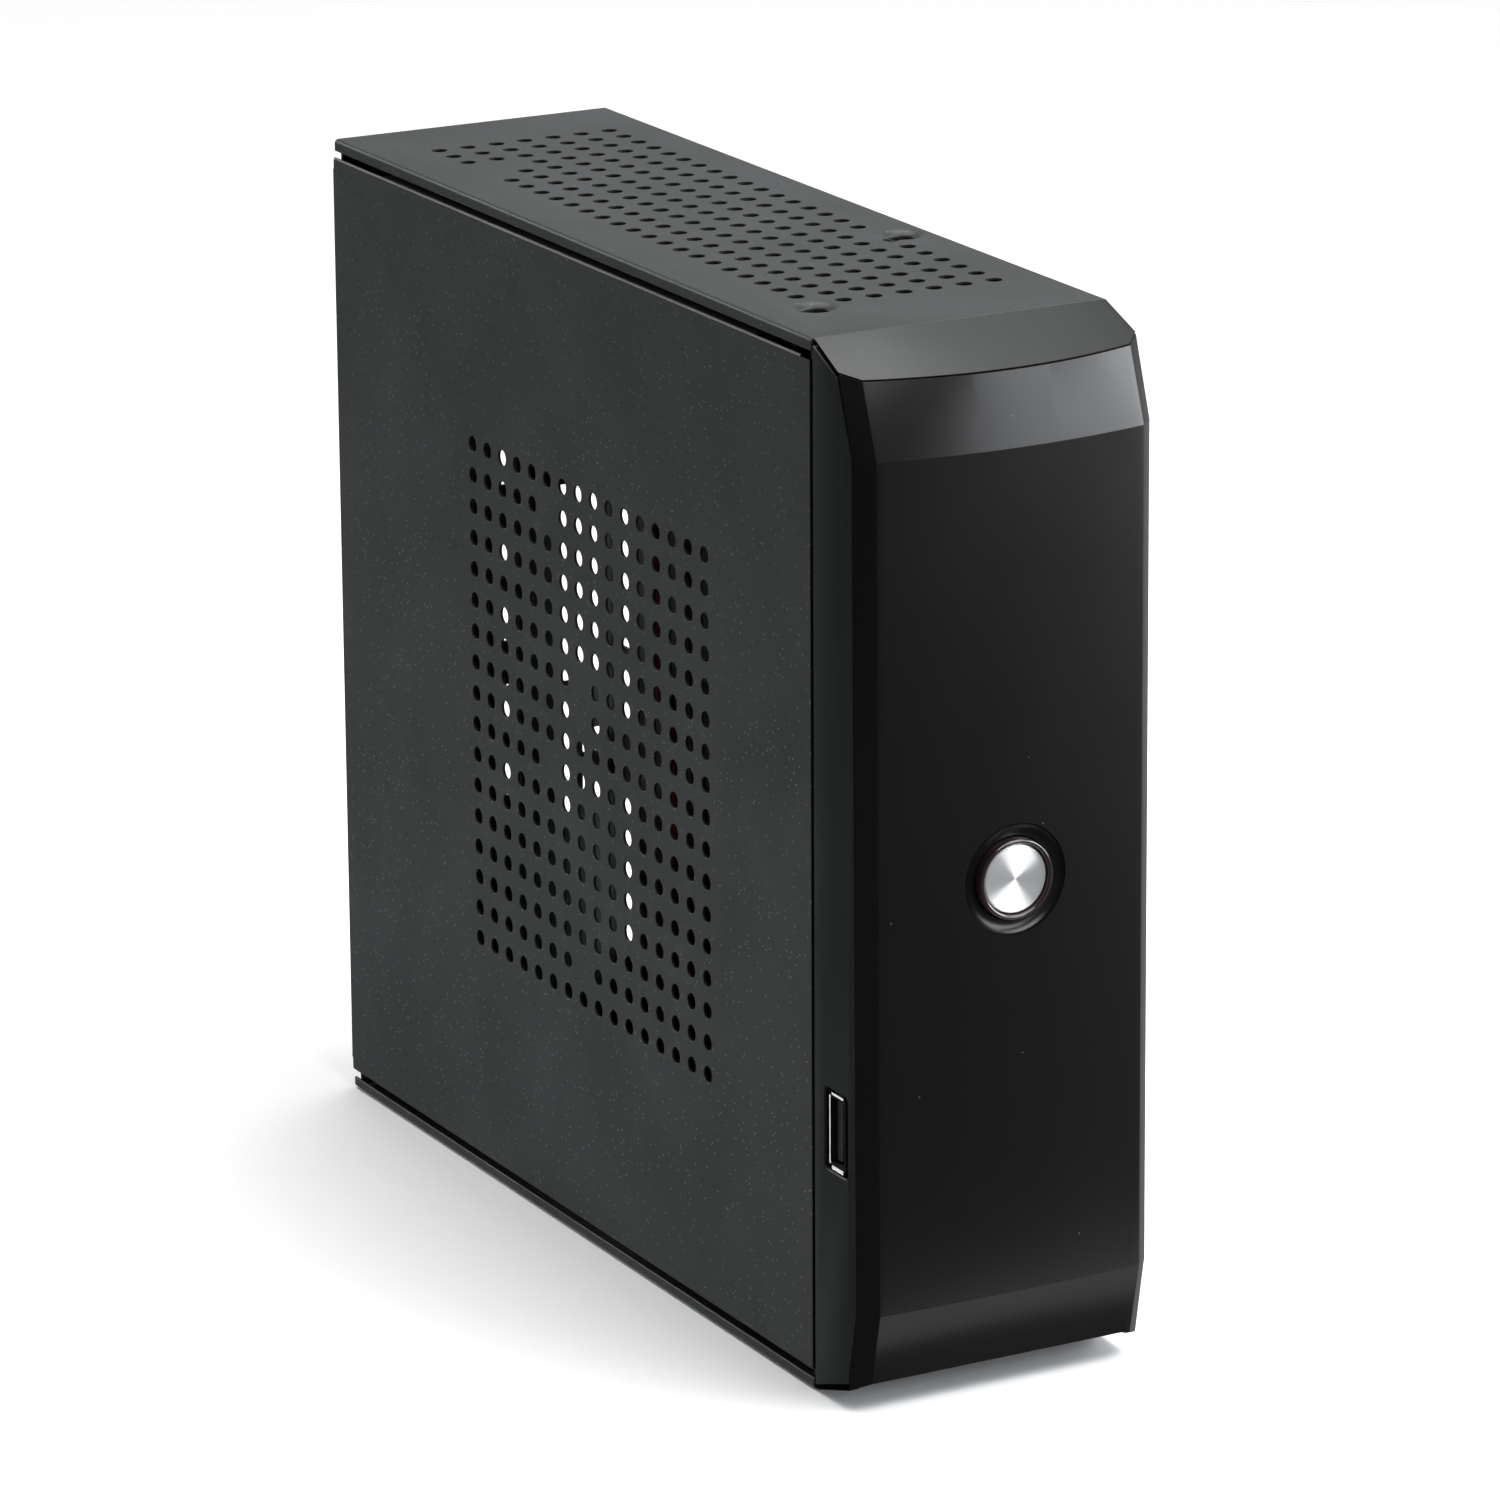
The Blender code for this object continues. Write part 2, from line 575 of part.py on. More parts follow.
def make_dc_jack(mats):
    """DC power inlet: a block with a round socket and a centre pin."""
    jack = box("dc_jack", (39.0, 173.5, 124), (SOLDER, PORT_Y, 133), mats["black_plastic"])
    middle = (44.45, PORT_Y, 128.5)
    cut_holes(jack, [middle], "y", 2.9, 20.0, 12)
    pin = turned("dc_pin", middle, "y", ((1.0, -12.0), (1.0, -1.0)), None, 8)
    combine(jack, [pin], "UNION")


def make_ports(mats):
    steel = mats["steel"]
    inner_y, tongue_tip = 178.5, PORT_Y - 0.8
    hdmi = box("hdmi_port", (44.1, 175.5, 135.5), (SOLDER, PORT_Y, 150.5), steel)
    cut_boxes(hdmi, [((44.7, inner_y, 136.2), (49.3, PORT_Y + 2, 149.8))])
    combine(hdmi, [box("hdmi_tongue", (46.5, inner_y - 1, 137.8), (47.5, tongue_tip, 148.2), None)], "UNION")

    stack = box("usb_rear_stack", (34.3, 170.0, 153.0), (SOLDER, PORT_Y, 166.2), steel)
    floors = (35.1, 43.4)
    cut_boxes(stack, [((x, 174, 153.4), (x + 5.1, PORT_Y + 2, 165.8)) for x in floors])
    tongues = [box(f"rear_tongue_{x:.0f}", (x + 0.7, 173, 154.2), (x + 2.6, tongue_tip, 165.0), None)
               for x in floors]
    combine(stack, tongues, "UNION")

    lan = box("lan_jack", (36.4, 165.5, 169.0), (SOLDER, PORT_Y, 185.0), steel)
    cut_boxes(lan, [((38.9, 174.0, 171.0), (47.5, PORT_Y + 2, 183.0))])


def make_drive(mats):
    box("drive", DRIVE_LOW, DRIVE_HIGH, mats["heatsink_aluminium"])
    low_z, high_z, edge_x, back_x = 5.4, 78.5, 49.5, WIDTH - INNER
    outline = ((edge_x, low_z), (back_x, low_z), (back_x, high_z), (edge_x, high_z),
               (edge_x, high_z - SHEET), (back_x - SHEET, high_z - SHEET),
               (back_x - SHEET, low_z + SHEET), (edge_x, low_z + SHEET))
    bracket = prism("drive_bracket", outline, "y", 18.0, 126.0, mats["steel"])
    middle_x = 53.3
    centres = [(middle_x, y, z) for y in DRIVE_SCREW_Y for z in (low_z + SHEET / 2, high_z - SHEET / 2)]
    cut_holes(bracket, centres, "z", 1.7, 3.0)
    for number, (x, y, z) in enumerate(centres, 1):
        out = -1 if z < HEIGHT / 4 else 1
        screw = ((2.6, out * 1.9), (2.6, out * 0.8), (1.3, out * 0.8), (1.3, -out * 0.8))
        turned(f"drive_screw_{number}", (x, y, z), "z", screw, mats["steel"], 8)
    box("drive_plug", (50.2, DRIVE_HIGH[1] + GAP, 12.0), (56.6, 134.0, 58.0), mats["black_plastic"])


def make_cover_screws(mats):
    for place, z in zip(("lower", "upper"), COVER_SCREW_Z):
        head_y = COVER_BACK_Y + GAP
        profile = ((SHANK, -10.0), (SHANK, 0.0), (HEAD, 0.0), (HEAD, 2.1), (HEAD - 0.4, SCREW_REACH - head_y))
        turned(f"cover_screw_{place}", (COVER_SCREW_X, head_y, z), "y", profile, mats["steel"], 12)


def make_cables(mats):
    cable("front_usb_cable", ((22, -6.9, 64), (25, -7.2, 69), (29, -5, 72.5), (31, -1.4, 73), (32, 2, 73.5),
                              (35, 10, 79), (39, 20, 93), (43, 32, 108), (46, 38, 117), (46.4, 38, 123.5)),
          1.6, mats["cable_black"])
    cable("switch_cable", ((37, -5.4, 86), (38, -5.0, 80), (38.5, -1.4, 77.5), (39.5, 2, 77.5), (43, 7, 84),
                           (46, 14, 98), (47, 24, 112), (47, 29.5, 123.5)),
          1.0, mats["cable_black"])
    cable("drive_data_cable", ((53, 134.4, 25), (53, 141, 27), (53, 147, 40), (52, 149, 62), (50, 149.5, 90),
                               (47.4, 150, 123.1)),
          1.8, mats["cable_red"])
    cable("drive_power_cable", ((53, 134.4, 45), (53, 138, 47), (52.2, 139, 62), (49.5, 135.5, 98),
                                (47.4, 132.5, 123.1)),
          1.5, mats["cable_black"])


def main():
    clear_scene()
    mats = {name: material(name, *look) for name, look in MATERIALS.items()}
    for make in (make_top_panel, make_bottom_panel, make_right_panel, make_rear_panel, make_left_cover,
                 make_front_bulkhead, make_front_plate, make_bezel, make_power_button, make_front_usb,
                 make_mainboard, make_heatsink, make_fan, make_board_parts, make_ports, make_drive,
                 make_cover_screws, make_cables):
        make(mats)


main()
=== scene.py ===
import math

import bmesh
import bpy
from mathutils import Matrix, Vector
from mathutils.geometry import delaunay_2d_cdt


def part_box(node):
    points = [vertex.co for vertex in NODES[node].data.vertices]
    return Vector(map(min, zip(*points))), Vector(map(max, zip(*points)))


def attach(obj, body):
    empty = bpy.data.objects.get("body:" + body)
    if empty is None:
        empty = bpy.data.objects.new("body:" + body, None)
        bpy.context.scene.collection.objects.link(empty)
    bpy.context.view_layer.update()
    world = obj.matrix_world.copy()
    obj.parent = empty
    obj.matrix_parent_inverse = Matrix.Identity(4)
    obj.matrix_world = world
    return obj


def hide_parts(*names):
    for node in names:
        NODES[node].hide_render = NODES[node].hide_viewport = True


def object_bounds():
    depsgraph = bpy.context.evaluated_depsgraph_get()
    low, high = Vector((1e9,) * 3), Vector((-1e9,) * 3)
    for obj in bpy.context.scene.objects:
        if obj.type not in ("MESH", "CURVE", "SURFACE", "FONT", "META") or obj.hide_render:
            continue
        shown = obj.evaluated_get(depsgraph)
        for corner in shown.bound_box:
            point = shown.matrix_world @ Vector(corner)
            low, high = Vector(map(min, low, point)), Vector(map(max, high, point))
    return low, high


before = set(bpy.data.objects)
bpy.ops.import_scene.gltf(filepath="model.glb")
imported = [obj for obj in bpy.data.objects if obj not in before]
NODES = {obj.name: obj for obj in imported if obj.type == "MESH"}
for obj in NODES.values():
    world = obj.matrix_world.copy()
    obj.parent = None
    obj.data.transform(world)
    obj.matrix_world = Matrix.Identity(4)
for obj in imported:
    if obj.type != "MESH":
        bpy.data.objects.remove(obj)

MM = 0.001
CAD_LOW, CAD_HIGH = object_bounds()

# The case's own frame, in millimetres: x from the left face, y from the seam behind the front, z up.
SEAM_GAP = 0.3
SEAM_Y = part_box("top_panel")[0].y - SEAM_GAP * MM
WIDTH = (CAD_HIGH.x - CAD_LOW.x) / MM
HEIGHT = CAD_HIGH.z / MM
SHEET, SHEET_EDGE = 0.6, 0.10
PITCH = 6.1
HOLE_RADIUS = 1.55
BUTTON_Z = HEIGHT / 2
COVER_SCREW_X, COVER_SCREWS_Z = 8.5, (30.0, 163.0)
BOARD_FACE = 50.2
FAN_CENTRE = (27.0, 95.0, 159.0)
DRIVE_MIDDLE_Z = 42.0
SHARP, FRONT_SHARP = 28, 14      # degrees: an edge that turns more than this stays crisp


def at(x, y, z):
    """A point of the case's frame, in world metres."""
    return Vector((CAD_LOW.x + x * MM, SEAM_Y + y * MM, z * MM))


def span(node):
    """The lowest and highest corner of a CAD node, in the case's frame."""
    low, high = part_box(node)
    return [((p.x - CAD_LOW.x) / MM, (p.y - SEAM_Y) / MM, p.z / MM) for p in (low, high)]


def new_object(name, data):
    """An object with that mesh, lamp or camera, in the scene."""
    obj = bpy.data.objects.new(name, data)
    bpy.context.scene.collection.objects.link(obj)
    return obj


# ---------------------------------------------------------------- materials

def add_node(tree, kind, inputs=None, **settings):
    """A shader node with its settings, each input linked to a socket or set to a value."""
    made = tree.nodes.new("ShaderNode" + kind)
    for key, value in settings.items():
        setattr(made, key, value)
    for key, value in (inputs or {}).items():
        if isinstance(value, bpy.types.NodeSocket):
            tree.links.new(value, made.inputs[key])
        else:
            made.inputs[key].default_value = value
    return made


class Surface:
    """A procedural material: a Principled shader whose colour, roughness and relief vary over the surface."""

    def __init__(self, name, slot, colour, roughness, metallic=0.0, **fixed):
        self.slot = slot
        self.material = bpy.data.materials.new(name)
        self.material.use_nodes = True
        self.tree = self.material.node_tree
        self.links = self.tree.links
        self.shader = self.tree.nodes["Principled BSDF"]
        self.colour, self.roughness = colour, roughness
        self.shader.inputs["Base Color"].default_value = (*colour, 1.0)
        self.shader.inputs["Roughness"].default_value = roughness
        self.shader.inputs["Metallic"].default_value = metallic
        for socket, value in fixed.items():
            self.shader.inputs[socket.replace("_", " ")].default_value = value
        self.place = self.node("TexCoord").outputs["Object"]
        self.height = None

    def node(self, kind, inputs=None, **settings):
        return add_node(self.tree, kind, inputs, **settings)

    def noise(self, size, detail=2.0, stretch=(1, 1, 1)):
        """Noise with blobs of about that size in millimetres."""
        place = self.place
        if stretch != (1, 1, 1):
            place = self.node("Mapping", {"Vector": place, "Scale": stretch}).outputs[0]
        inputs = {"Vector": place, "Scale": 1 / (size * MM), "Detail": detail}
        return self.node("TexNoise", inputs).outputs["Fac"]

    def remap(self, value, low, high, start=0.0, end=1.0):
        """A value's range from low to high, taken to start and end."""
        return self.node("MapRange", {0: value, 1: low, 2: high, 3: start, 4: end}).outputs[0]

    def math(self, operation, a, b=0.0):
        """A Math node's result."""
        return self.node("Math", {0: a, 1: b}, operation=operation).outputs[0]

    def tint(self, factor, colour):
        """Mix another colour in where the factor is 1."""
        base = self.shader.inputs["Base Color"]
        before = base.links[0].from_socket if base.is_linked else (*self.colour, 1.0)
        mixed = self.node("Mix", {"Factor": factor, 6: before, 7: (*colour, 1.0)}, data_type="RGBA")
        self.links.new(mixed.outputs[2], base)

    def vary(self, size, spread, rough_spread=0.0, detail=3.0):
        """Let brightness and roughness drift over blobs of that size."""
        blobs = self.noise(size, detail)
        darker = [c * (1 - spread) for c in self.colour]
        self.tint(self.remap(blobs, 0.35, 0.65), darker)
        if rough_spread:
            low, high = self.roughness - rough_spread, self.roughness + rough_spread
            self.links.new(self.remap(blobs, 0.3, 0.7, low, high), self.shader.inputs["Roughness"])

    def relief(self, height, depth, strength=1.0):
        """Bump of that depth in millimetres, added to the relief so far."""
        inputs = {"Height": height, "Distance": depth * MM, "Strength": strength}
        if self.height is not None:
            inputs["Normal"] = self.height
        self.height = self.node("Bump", inputs).outputs[0]
        self.links.new(self.height, self.shader.inputs["Normal"])


def make_powder_coat():
    """Dark orange peel with sparse pale flecks."""
    s = Surface("powder_coat", "black_sheet", (0.027, 0.029, 0.029), 0.44, Specular_IOR_Level=0.36)
    s.vary(30, 0.16, 0.04)
    s.relief(s.noise(0.55, 2.0), 0.035, 0.5)
    s.relief(s.noise(0.16, 1.0), 0.010, 0.4)
    flecks = s.node("TexVoronoi", {"Vector": s.place, "Scale": 1 / (1.1 * MM)}, feature="F1")
    sparse = s.math("GREATER_THAN", s.node("SeparateColor", {0: flecks.outputs["Color"]}).outputs[0], 0.86)
    speck = s.math("MULTIPLY", s.math("LESS_THAN", flecks.outputs["Distance"], 0.16), sparse)
    s.tint(speck, (0.11, 0.115, 0.115))
    return s


def make_matte_bezel():
    """Moulded plastic with a fine spark texture."""
    s = Surface("moulded_black", "matte_bezel", (0.0078, 0.009, 0.0088), 0.36, Specular_IOR_Level=0.34)
    s.vary(25, 0.15, 0.04)
    s.relief(s.noise(0.14, 1.0), 0.006, 0.5)
    return s


def make_gloss_front():
    """Smooth black plastic with a slight waviness and a few specks of dust."""
    s = Surface("gloss_black", "gloss_front", (0.0028, 0.0028, 0.0029), 0.30, Specular_IOR_Level=0.36)
    s.vary(40, 0.2, 0.02)
    s.relief(s.noise(9.0, 1.0), 0.012, 0.25)
    dust = s.node("TexVoronoi", {"Vector": s.place, "Scale": 1 / (7.0 * MM)}, feature="F1")
    s.tint(s.math("LESS_THAN", dust.outputs["Distance"], 0.018), (0.10, 0.10, 0.10))
    return s


def make_spun_aluminium():
    """Turned metal: fine rings about the button's own axis, and a painted sheen: darker to the left and right
    of the centre than above and below it.
    """
    s = Surface("spun_metal", "spun_aluminium", (0.93, 0.935, 0.94), 0.42, 0.84, Anisotropic=0.95)
    centre = at(WIDTH / 2, 0, BUTTON_Z)
    local = s.node("Mapping", {"Vector": s.place, "Location": (-centre.x, 0, -centre.z)}).outputs[0]
    parts = s.node("SeparateXYZ", {0: local}).outputs
    squares = s.math("ADD", s.math("MULTIPLY", parts[0], parts[0]), s.math("MULTIPLY", parts[2], parts[2]))
    radius = s.math("SQRT", squares)
    rings = s.node("CombineXYZ", {0: s.math("MULTIPLY", radius, 1 / (0.07 * MM))}).outputs[0]
    grooves = s.node("TexNoise", {"Vector": rings, "Scale": 1.0, "Detail": 2.0}).outputs["Fac"]
    s.relief(grooves, 0.004, 0.5)
    s.links.new(s.remap(grooves, 0.3, 0.7, 0.36, 0.48), s.shader.inputs["Roughness"])
    # Painted sheen: the colour turns darker where a spot lies to the left or right of the button's centre,
    # standing in for the turned finish's highlight above and below.
    upright = s.math("DIVIDE", s.math("ABSOLUTE", parts[2]), s.math("ADD", radius, 1e-5))
    s.tint(s.remap(upright, 0.50, 0.22), (0.86, 0.87, 0.875))
    outward = s.node("CombineXYZ", {0: parts[0], 1: 0.0, 2: parts[2]}).outputs[0]
    spoke = s.node("VectorMath", {0: outward}, operation="NORMALIZE").outputs[0]
    s.links.new(spoke, s.shader.inputs["Tangent"])
    return s


def make_plain(name, slot, colour, roughness, metallic, blob, spread, grain, depth):
    """A moulded, plated or drawn finish: drifting tone and a fine grain."""
    s = Surface(name, slot, colour, roughness, metallic)
    s.vary(blob, spread, min(0.06, roughness / 4))
    s.relief(s.noise(grain, 1.0), depth, 0.4)
    return s


def make_brushed(name, slot, colour, roughness, stretch):
    """Bare metal with fine lines along one direction."""
    s = Surface(name, slot, colour, roughness, 1.0)
    lines = s.noise(0.25, 3.0, stretch)
    s.tint(s.remap(lines, 0.35, 0.7), [c * 0.72 for c in colour])
    s.links.new(s.remap(lines, 0.3, 0.7, roughness - 0.08, roughness + 0.1), s.shader.inputs["Roughness"])
    s.relief(lines, 0.006, 0.35)
    return s


def make_board():
    """Solder mask over copper: short straight tracks, vias and a faint weave."""
    s = Surface("circuit_board", "board_green", (0.006, 0.036, 0.016), 0.32)
    parts = s.node("SeparateXYZ", {0: s.place}).outputs
    flat = s.node("CombineXYZ", {0: parts[1], 1: parts[2]}).outputs[0]
    tracks = s.node("TexBrick", {"Vector": flat, "Scale": 1.0, "Mortar Size": 0.00022, "Mortar Smooth": 0.1,
                                 "Brick Width": 0.0136, "Row Height": 0.0017, "Bias": 0.0}, offset=0.37)
    cross = s.node("Mapping", {"Vector": flat, "Rotation": (0, 0, math.radians(90))}).outputs[0]
    more = s.node("TexBrick", {"Vector": cross, "Scale": 1.0, "Mortar Size": 0.00018, "Mortar Smooth": 0.1,
                               "Brick Width": 0.0211, "Row Height": 0.0029, "Bias": 0.0}, offset=0.41)
    zones = s.remap(s.noise(16.0, 1.0), 0.48, 0.52)
    copper = s.node("Mix", {"Factor": zones, 2: tracks.outputs["Fac"], 3: more.outputs["Fac"]}).outputs[0]
    s.tint(copper, (0.016, 0.085, 0.036))
    vias = s.node("TexVoronoi", {"Vector": flat, "Scale": 1 / (3.4 * MM)}, voronoi_dimensions="2D")
    s.tint(s.math("LESS_THAN", vias.outputs["Distance"], 0.10), (0.35, 0.30, 0.16))
    s.relief(copper, 0.03, 0.5)
    return s


def make_light_pipe():
    """Dark smoked plastic under a clear coat."""
    s = Surface("smoked_pipe", "light_pipe", (0.020, 0.012, 0.012), 0.14, Coat_Weight=0.6)
    s.vary(3.0, 0.3, 0.03)
    s.relief(s.noise(1.2, 1.0), 0.004, 0.3)
    return s


def make_plated():
    """Satin nickel that also scatters light, as on the lips of a socket."""
    s = Surface("satin_nickel", "steel", (0.86, 0.86, 0.85), 0.36, 0.35)
    s.vary(2.0, 0.06, 0.05)
    s.relief(s.noise(0.2, 1.0), 0.003, 0.3)
    return s


# Each row is: material, slot, colour, roughness, metallic, blob size, spread, grain size, grain depth.
PLAIN = {
    # The edge finish is painted shade: near black, put on hole walls, grooves, openings and cavities where
    # shade falls.
    "edge": ("painted_shade", "black_sheet", (0.003, 0.003, 0.003), 0.85, 0.0, 2.0, 0.3, 0.2, 0.01),
    "steel": ("plated_steel", "steel", (0.62, 0.62, 0.63), 0.28, 1.0, 6.0, 0.12, 0.4, 0.004),
    "black": ("black_polymer", "black_plastic", (0.016, 0.016, 0.018), 0.42, 0.0, 5.0, 0.2, 0.2, 0.008),
    "white": ("natural_nylon", "white_plastic", (0.74, 0.72, 0.66), 0.45, 0.0, 4.0, 0.08, 0.25, 0.008),
    "chip": ("moulded_chip", "chip_black", (0.022, 0.022, 0.024), 0.48, 0.0, 3.0, 0.25, 0.12, 0.008),
    "brass": ("turned_brass", "brass", (0.72, 0.50, 0.20), 0.26, 1.0, 2.0, 0.12, 0.2, 0.005),
    "lamp": ("lamp_lens", "light_pipe", (0.50, 0.42, 0.10), 0.25, 0.0, 2.0, 0.2, 0.3, 0.003),
    "label": ("blank_label", "white_plastic", (0.62, 0.62, 0.60), 0.55, 0.0, 9.0, 0.06, 0.3, 0.004),
    "wire": ("wire_sleeve", "cable_black", (0.018, 0.018, 0.018), 0.5, 0.0, 3.0, 0.2, 0.4, 0.02),
    "red": ("red_sleeve", "cable_red", (0.20, 0.010, 0.012), 0.42, 0.0, 5.0, 0.15, 0.4, 0.01),
}
LOOK = {
    "powder": make_powder_coat(),
    "nickel": make_plated(),
    "bezel": make_matte_bezel(),
    "gloss": make_gloss_front(),
    "spun": make_spun_aluminium(),
    "pipe": make_light_pipe(),
    "board": make_board(),
    "alloy": make_brushed("milled_alloy", "heatsink_aluminium", (0.60, 0.61, 0.63), 0.34, (1, 0.06, 1)),
    **{key: make_plain(*finish) for key, finish in PLAIN.items()},
}


# ---------------------------------------------------------------- mesh helpers

def add_piece(name, bm, look, nodes=(), body="case", sharp=SHARP):
    """Turn a bmesh in world metres into a piece that rides on a body and stands for CAD nodes."""
    looks = look if isinstance(look, (list, tuple)) else [look]
    bmesh.ops.recalc_face_normals(bm, faces=bm.faces)
    mesh = bpy.data.meshes.new(name)
    bm.to_mesh(mesh)
    bm.free()
    obj = new_object(name, mesh)
    for each in looks:
        mesh.materials.append(LOOK[each].material)
    mesh.shade_smooth()
    mesh.set_sharp_from_angle(angle=math.radians(sharp))
    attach(obj, body)
    if nodes:
        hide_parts(*nodes)
    return obj


def circle(u, v, radius, count=24):
    """A circle's points, anticlockwise."""
    steps = [math.tau * (k + 0.5) / count for k in range(count)]
    return [(u + radius * math.cos(a), v + radius * math.sin(a)) for a in steps]


def rounded(u0, v0, u1, v1, radius, count=4):
    """A rectangle's outline with rounded corners, anticlockwise."""
    loop = []
    corners = ((u1 - radius, v1 - radius, 0), (u0 + radius, v1 - radius, 1),
               (u0 + radius, v0 + radius, 2), (u1 - radius, v0 + radius, 3))
    for u, v, quarter in corners:
        for k in range(count + 1):
            angle = math.pi / 2 * (quarter + k / count)
            loop.append((u + radius * math.cos(angle), v + radius * math.sin(angle)))
    return loop


def inside(point, loop):
    """Whether a point is inside a convex anticlockwise loop."""
    u, v = point
    for (a, b), (c, d) in zip(loop, loop[1:] + loop[:1]):
        if (c - a) * (v - b) - (d - b) * (u - a) < 0:
            return False
    return True


def flat_pattern(frame_box, cutouts, guides):
    """Triangles of a rectangle less its convex cutouts. Guides are lines that the triangles follow."""
    u0, v0, u1, v1 = frame_box
    verts, edges = [], []
    border = [(u0, v0), (u1, v0), (u1, v1), (u0, v1)]
    for loop, closed in [(border, True), *[(loop, True) for loop in cutouts], *guides]:
        first = len(verts)
        verts += [Vector(p) for p in loop]
        count = len(loop)
        edges += [(first + k, first + (k + 1) % count) for k in range(count if closed else count - 1)]
    points, _, faces = delaunay_2d_cdt(verts, edges, [], 0, 1e-5)[:3]
    # Cutouts by lattice cell, so that each triangle is tested against its near ones only.
    cells = {}
    for loop in cutouts:
        us, vs = [p[0] for p in loop], [p[1] for p in loop]
        box = (min(us), min(vs), max(us), max(vs), loop)
        for i in range(int(box[0] // PITCH), int(box[2] // PITCH) + 1):
            for j in range(int(box[1] // PITCH), int(box[3] // PITCH) + 1):
                cells.setdefault((i, j), []).append(box)
    kept = []
    for face in faces:
        u = sum(points[k].x for k in face) / 3
        v = sum(points[k].y for k in face) / 3
        if not (u0 < u < u1 and v0 < v < v1):
            continue
        near = cells.get((int(u // PITCH), int(v // PITCH)), ())
        if any(b[0] <= u <= b[2] and b[1] <= v <= b[3] and inside((u, v), b[4]) for b in near):
            continue
        a, b, c = (points[k] for k in face)
        turn = (b - a).cross(c - a)
        kept.append(tuple(face) if turn > 0 else tuple(reversed(face)))
    return points, kept


def sheet_metal(node, name, pattern, place, body="case"):
    """Give a flat pattern thickness and softened edges, and put every point in its place."""
    points, faces = pattern
    sides = {}
    for face in faces:
        for a, b in zip(face, face[1:] + face[:1]):
            sides[(a, b)] = sides.get((a, b), 0) + 1
    rim = [(a, b) for a, b in sides if (b, a) not in sides]
    normals = {}
    for a, b in rim:
        along = (points[b] - points[a]).normalized()
        for k in (a, b):
            normals.setdefault(k, []).append(Vector((along.y, -along.x)))
    bm = bmesh.new()
    skins = [{}, {}]
    walls = [{}, {}]
    used = {k for face in faces for k in face}
    for k in used:
        flat, inset = points[k], points[k]
        if k in normals:
            total = sum(normals[k], Vector((0, 0)))
            inset = flat - total.normalized() * SHEET_EDGE * min(1.6, 2 / max(total.length, 0.8))
            walls[0][k] = bm.verts.new(at(*place(flat.x, flat.y, SHEET_EDGE)))
            walls[1][k] = bm.verts.new(at(*place(flat.x, flat.y, SHEET - SHEET_EDGE)))
        skins[0][k] = bm.verts.new(at(*place(inset.x, inset.y, 0.0)))
        skins[1][k] = bm.verts.new(at(*place(inset.x, inset.y, SHEET)))
    for face in faces:
        for skin in skins:
            bm.faces.new([skin[k] for k in face])
    layers = (skins[0], walls[0], walls[1], skins[1])
    for a, b in rim:
        for number, (near, far) in enumerate(zip(layers, layers[1:])):
            wall = bm.faces.new((near[a], near[b], far[b], far[a]))
            # The middle band of every cut wall takes the edge finish: painted shade inside the holes and
            # along the sheet's edges.
            wall.material_index = 1 if number == 1 else 0
    add_piece(name, bm, ["powder", "edge"], [node], body)


def fold(u, w, low, high, radius):
    """Bend a flat coordinate down past low or high. Returns the place along and the depth below the face."""
    if low <= u <= high:
        return u, w
    side, start = (1, high) if u > high else (-1, low)
    run = abs(u - start)
    angle = min(run / radius, math.pi / 2)
    extra = max(0.0, run - radius * math.pi / 2)
    return (start + side * (radius - w) * math.sin(angle),
            radius - (radius - w) * math.cos(angle) + extra)


def bend_guides(start, side, radius, v0, v1, steps=5):
    """Lines across the pattern where it bends."""
    arc = radius * math.pi / 2
    return [([(start + side * arc * k / steps, v0), (start + side * arc * k / steps, v1)], False)
            for k in range(steps + 1)]


def swap(guides):
    """The same lines with u and v exchanged."""
    return [([(v, u) for u, v in line], closed) for line, closed in guides]


def tube(bm, outlines):
    """Join a stack of outlines, with a face at each end. Returns the walls between, band by band."""
    rings = [[bm.verts.new(at(*point)) for point in outline] for outline in outlines]
    bm.faces.new(rings[0])
    bm.faces.new(reversed(rings[-1]))
    return [[bm.faces.new(wall) for wall in zip(near, near[1:] + near[:1], far[1:] + far[:1], far)]
            for near, far in zip(rings, rings[1:])]


def slab(bm, outline, x0, x1):
    """A plate with that outline of (y, z), from x0 to x1."""
    tube(bm, [[(x, y, z) for y, z in outline] for x in (x0, x1)])


def lathe(name, centre, axis, profile, look, nodes=(), body="case", sides=48, sharp=SHARP, wobble=None):
    """Turn a profile of (radius, distance) round an axis. Ends with no radius close to a point."""
    along = Vector([1.0 if letter == axis else 0.0 for letter in "xyz"])
    across = along.orthogonal().normalized()
    third = along.cross(across)
    bm = bmesh.new()
    rings = []
    for radius, distance in profile:
        if radius == 0:
            rings.append([bm.verts.new(at(*centre) + along * distance * MM)])
            continue
        ring = []
        for step in range(sides):
            angle = math.tau * step / sides
            grown = radius + (wobble(step, radius, distance) if wobble else 0.0)
            spoke = across * math.cos(angle) + third * math.sin(angle)
            ring.append(bm.verts.new(at(*centre) + (along * distance + spoke * grown) * MM))
        rings.append(ring)
    for near, far in zip(rings, rings[1:]):
        for step in range(sides):
            after = (step + 1) % sides
            corners = [near[step % len(near)], near[after % len(near)],
                       far[after % len(far)], far[step % len(far)]]
            corners = list(dict.fromkeys(corners))
            if len(corners) > 2:
                bm.faces.new(corners)
    return add_piece(name, bm, look, nodes, body, sharp)


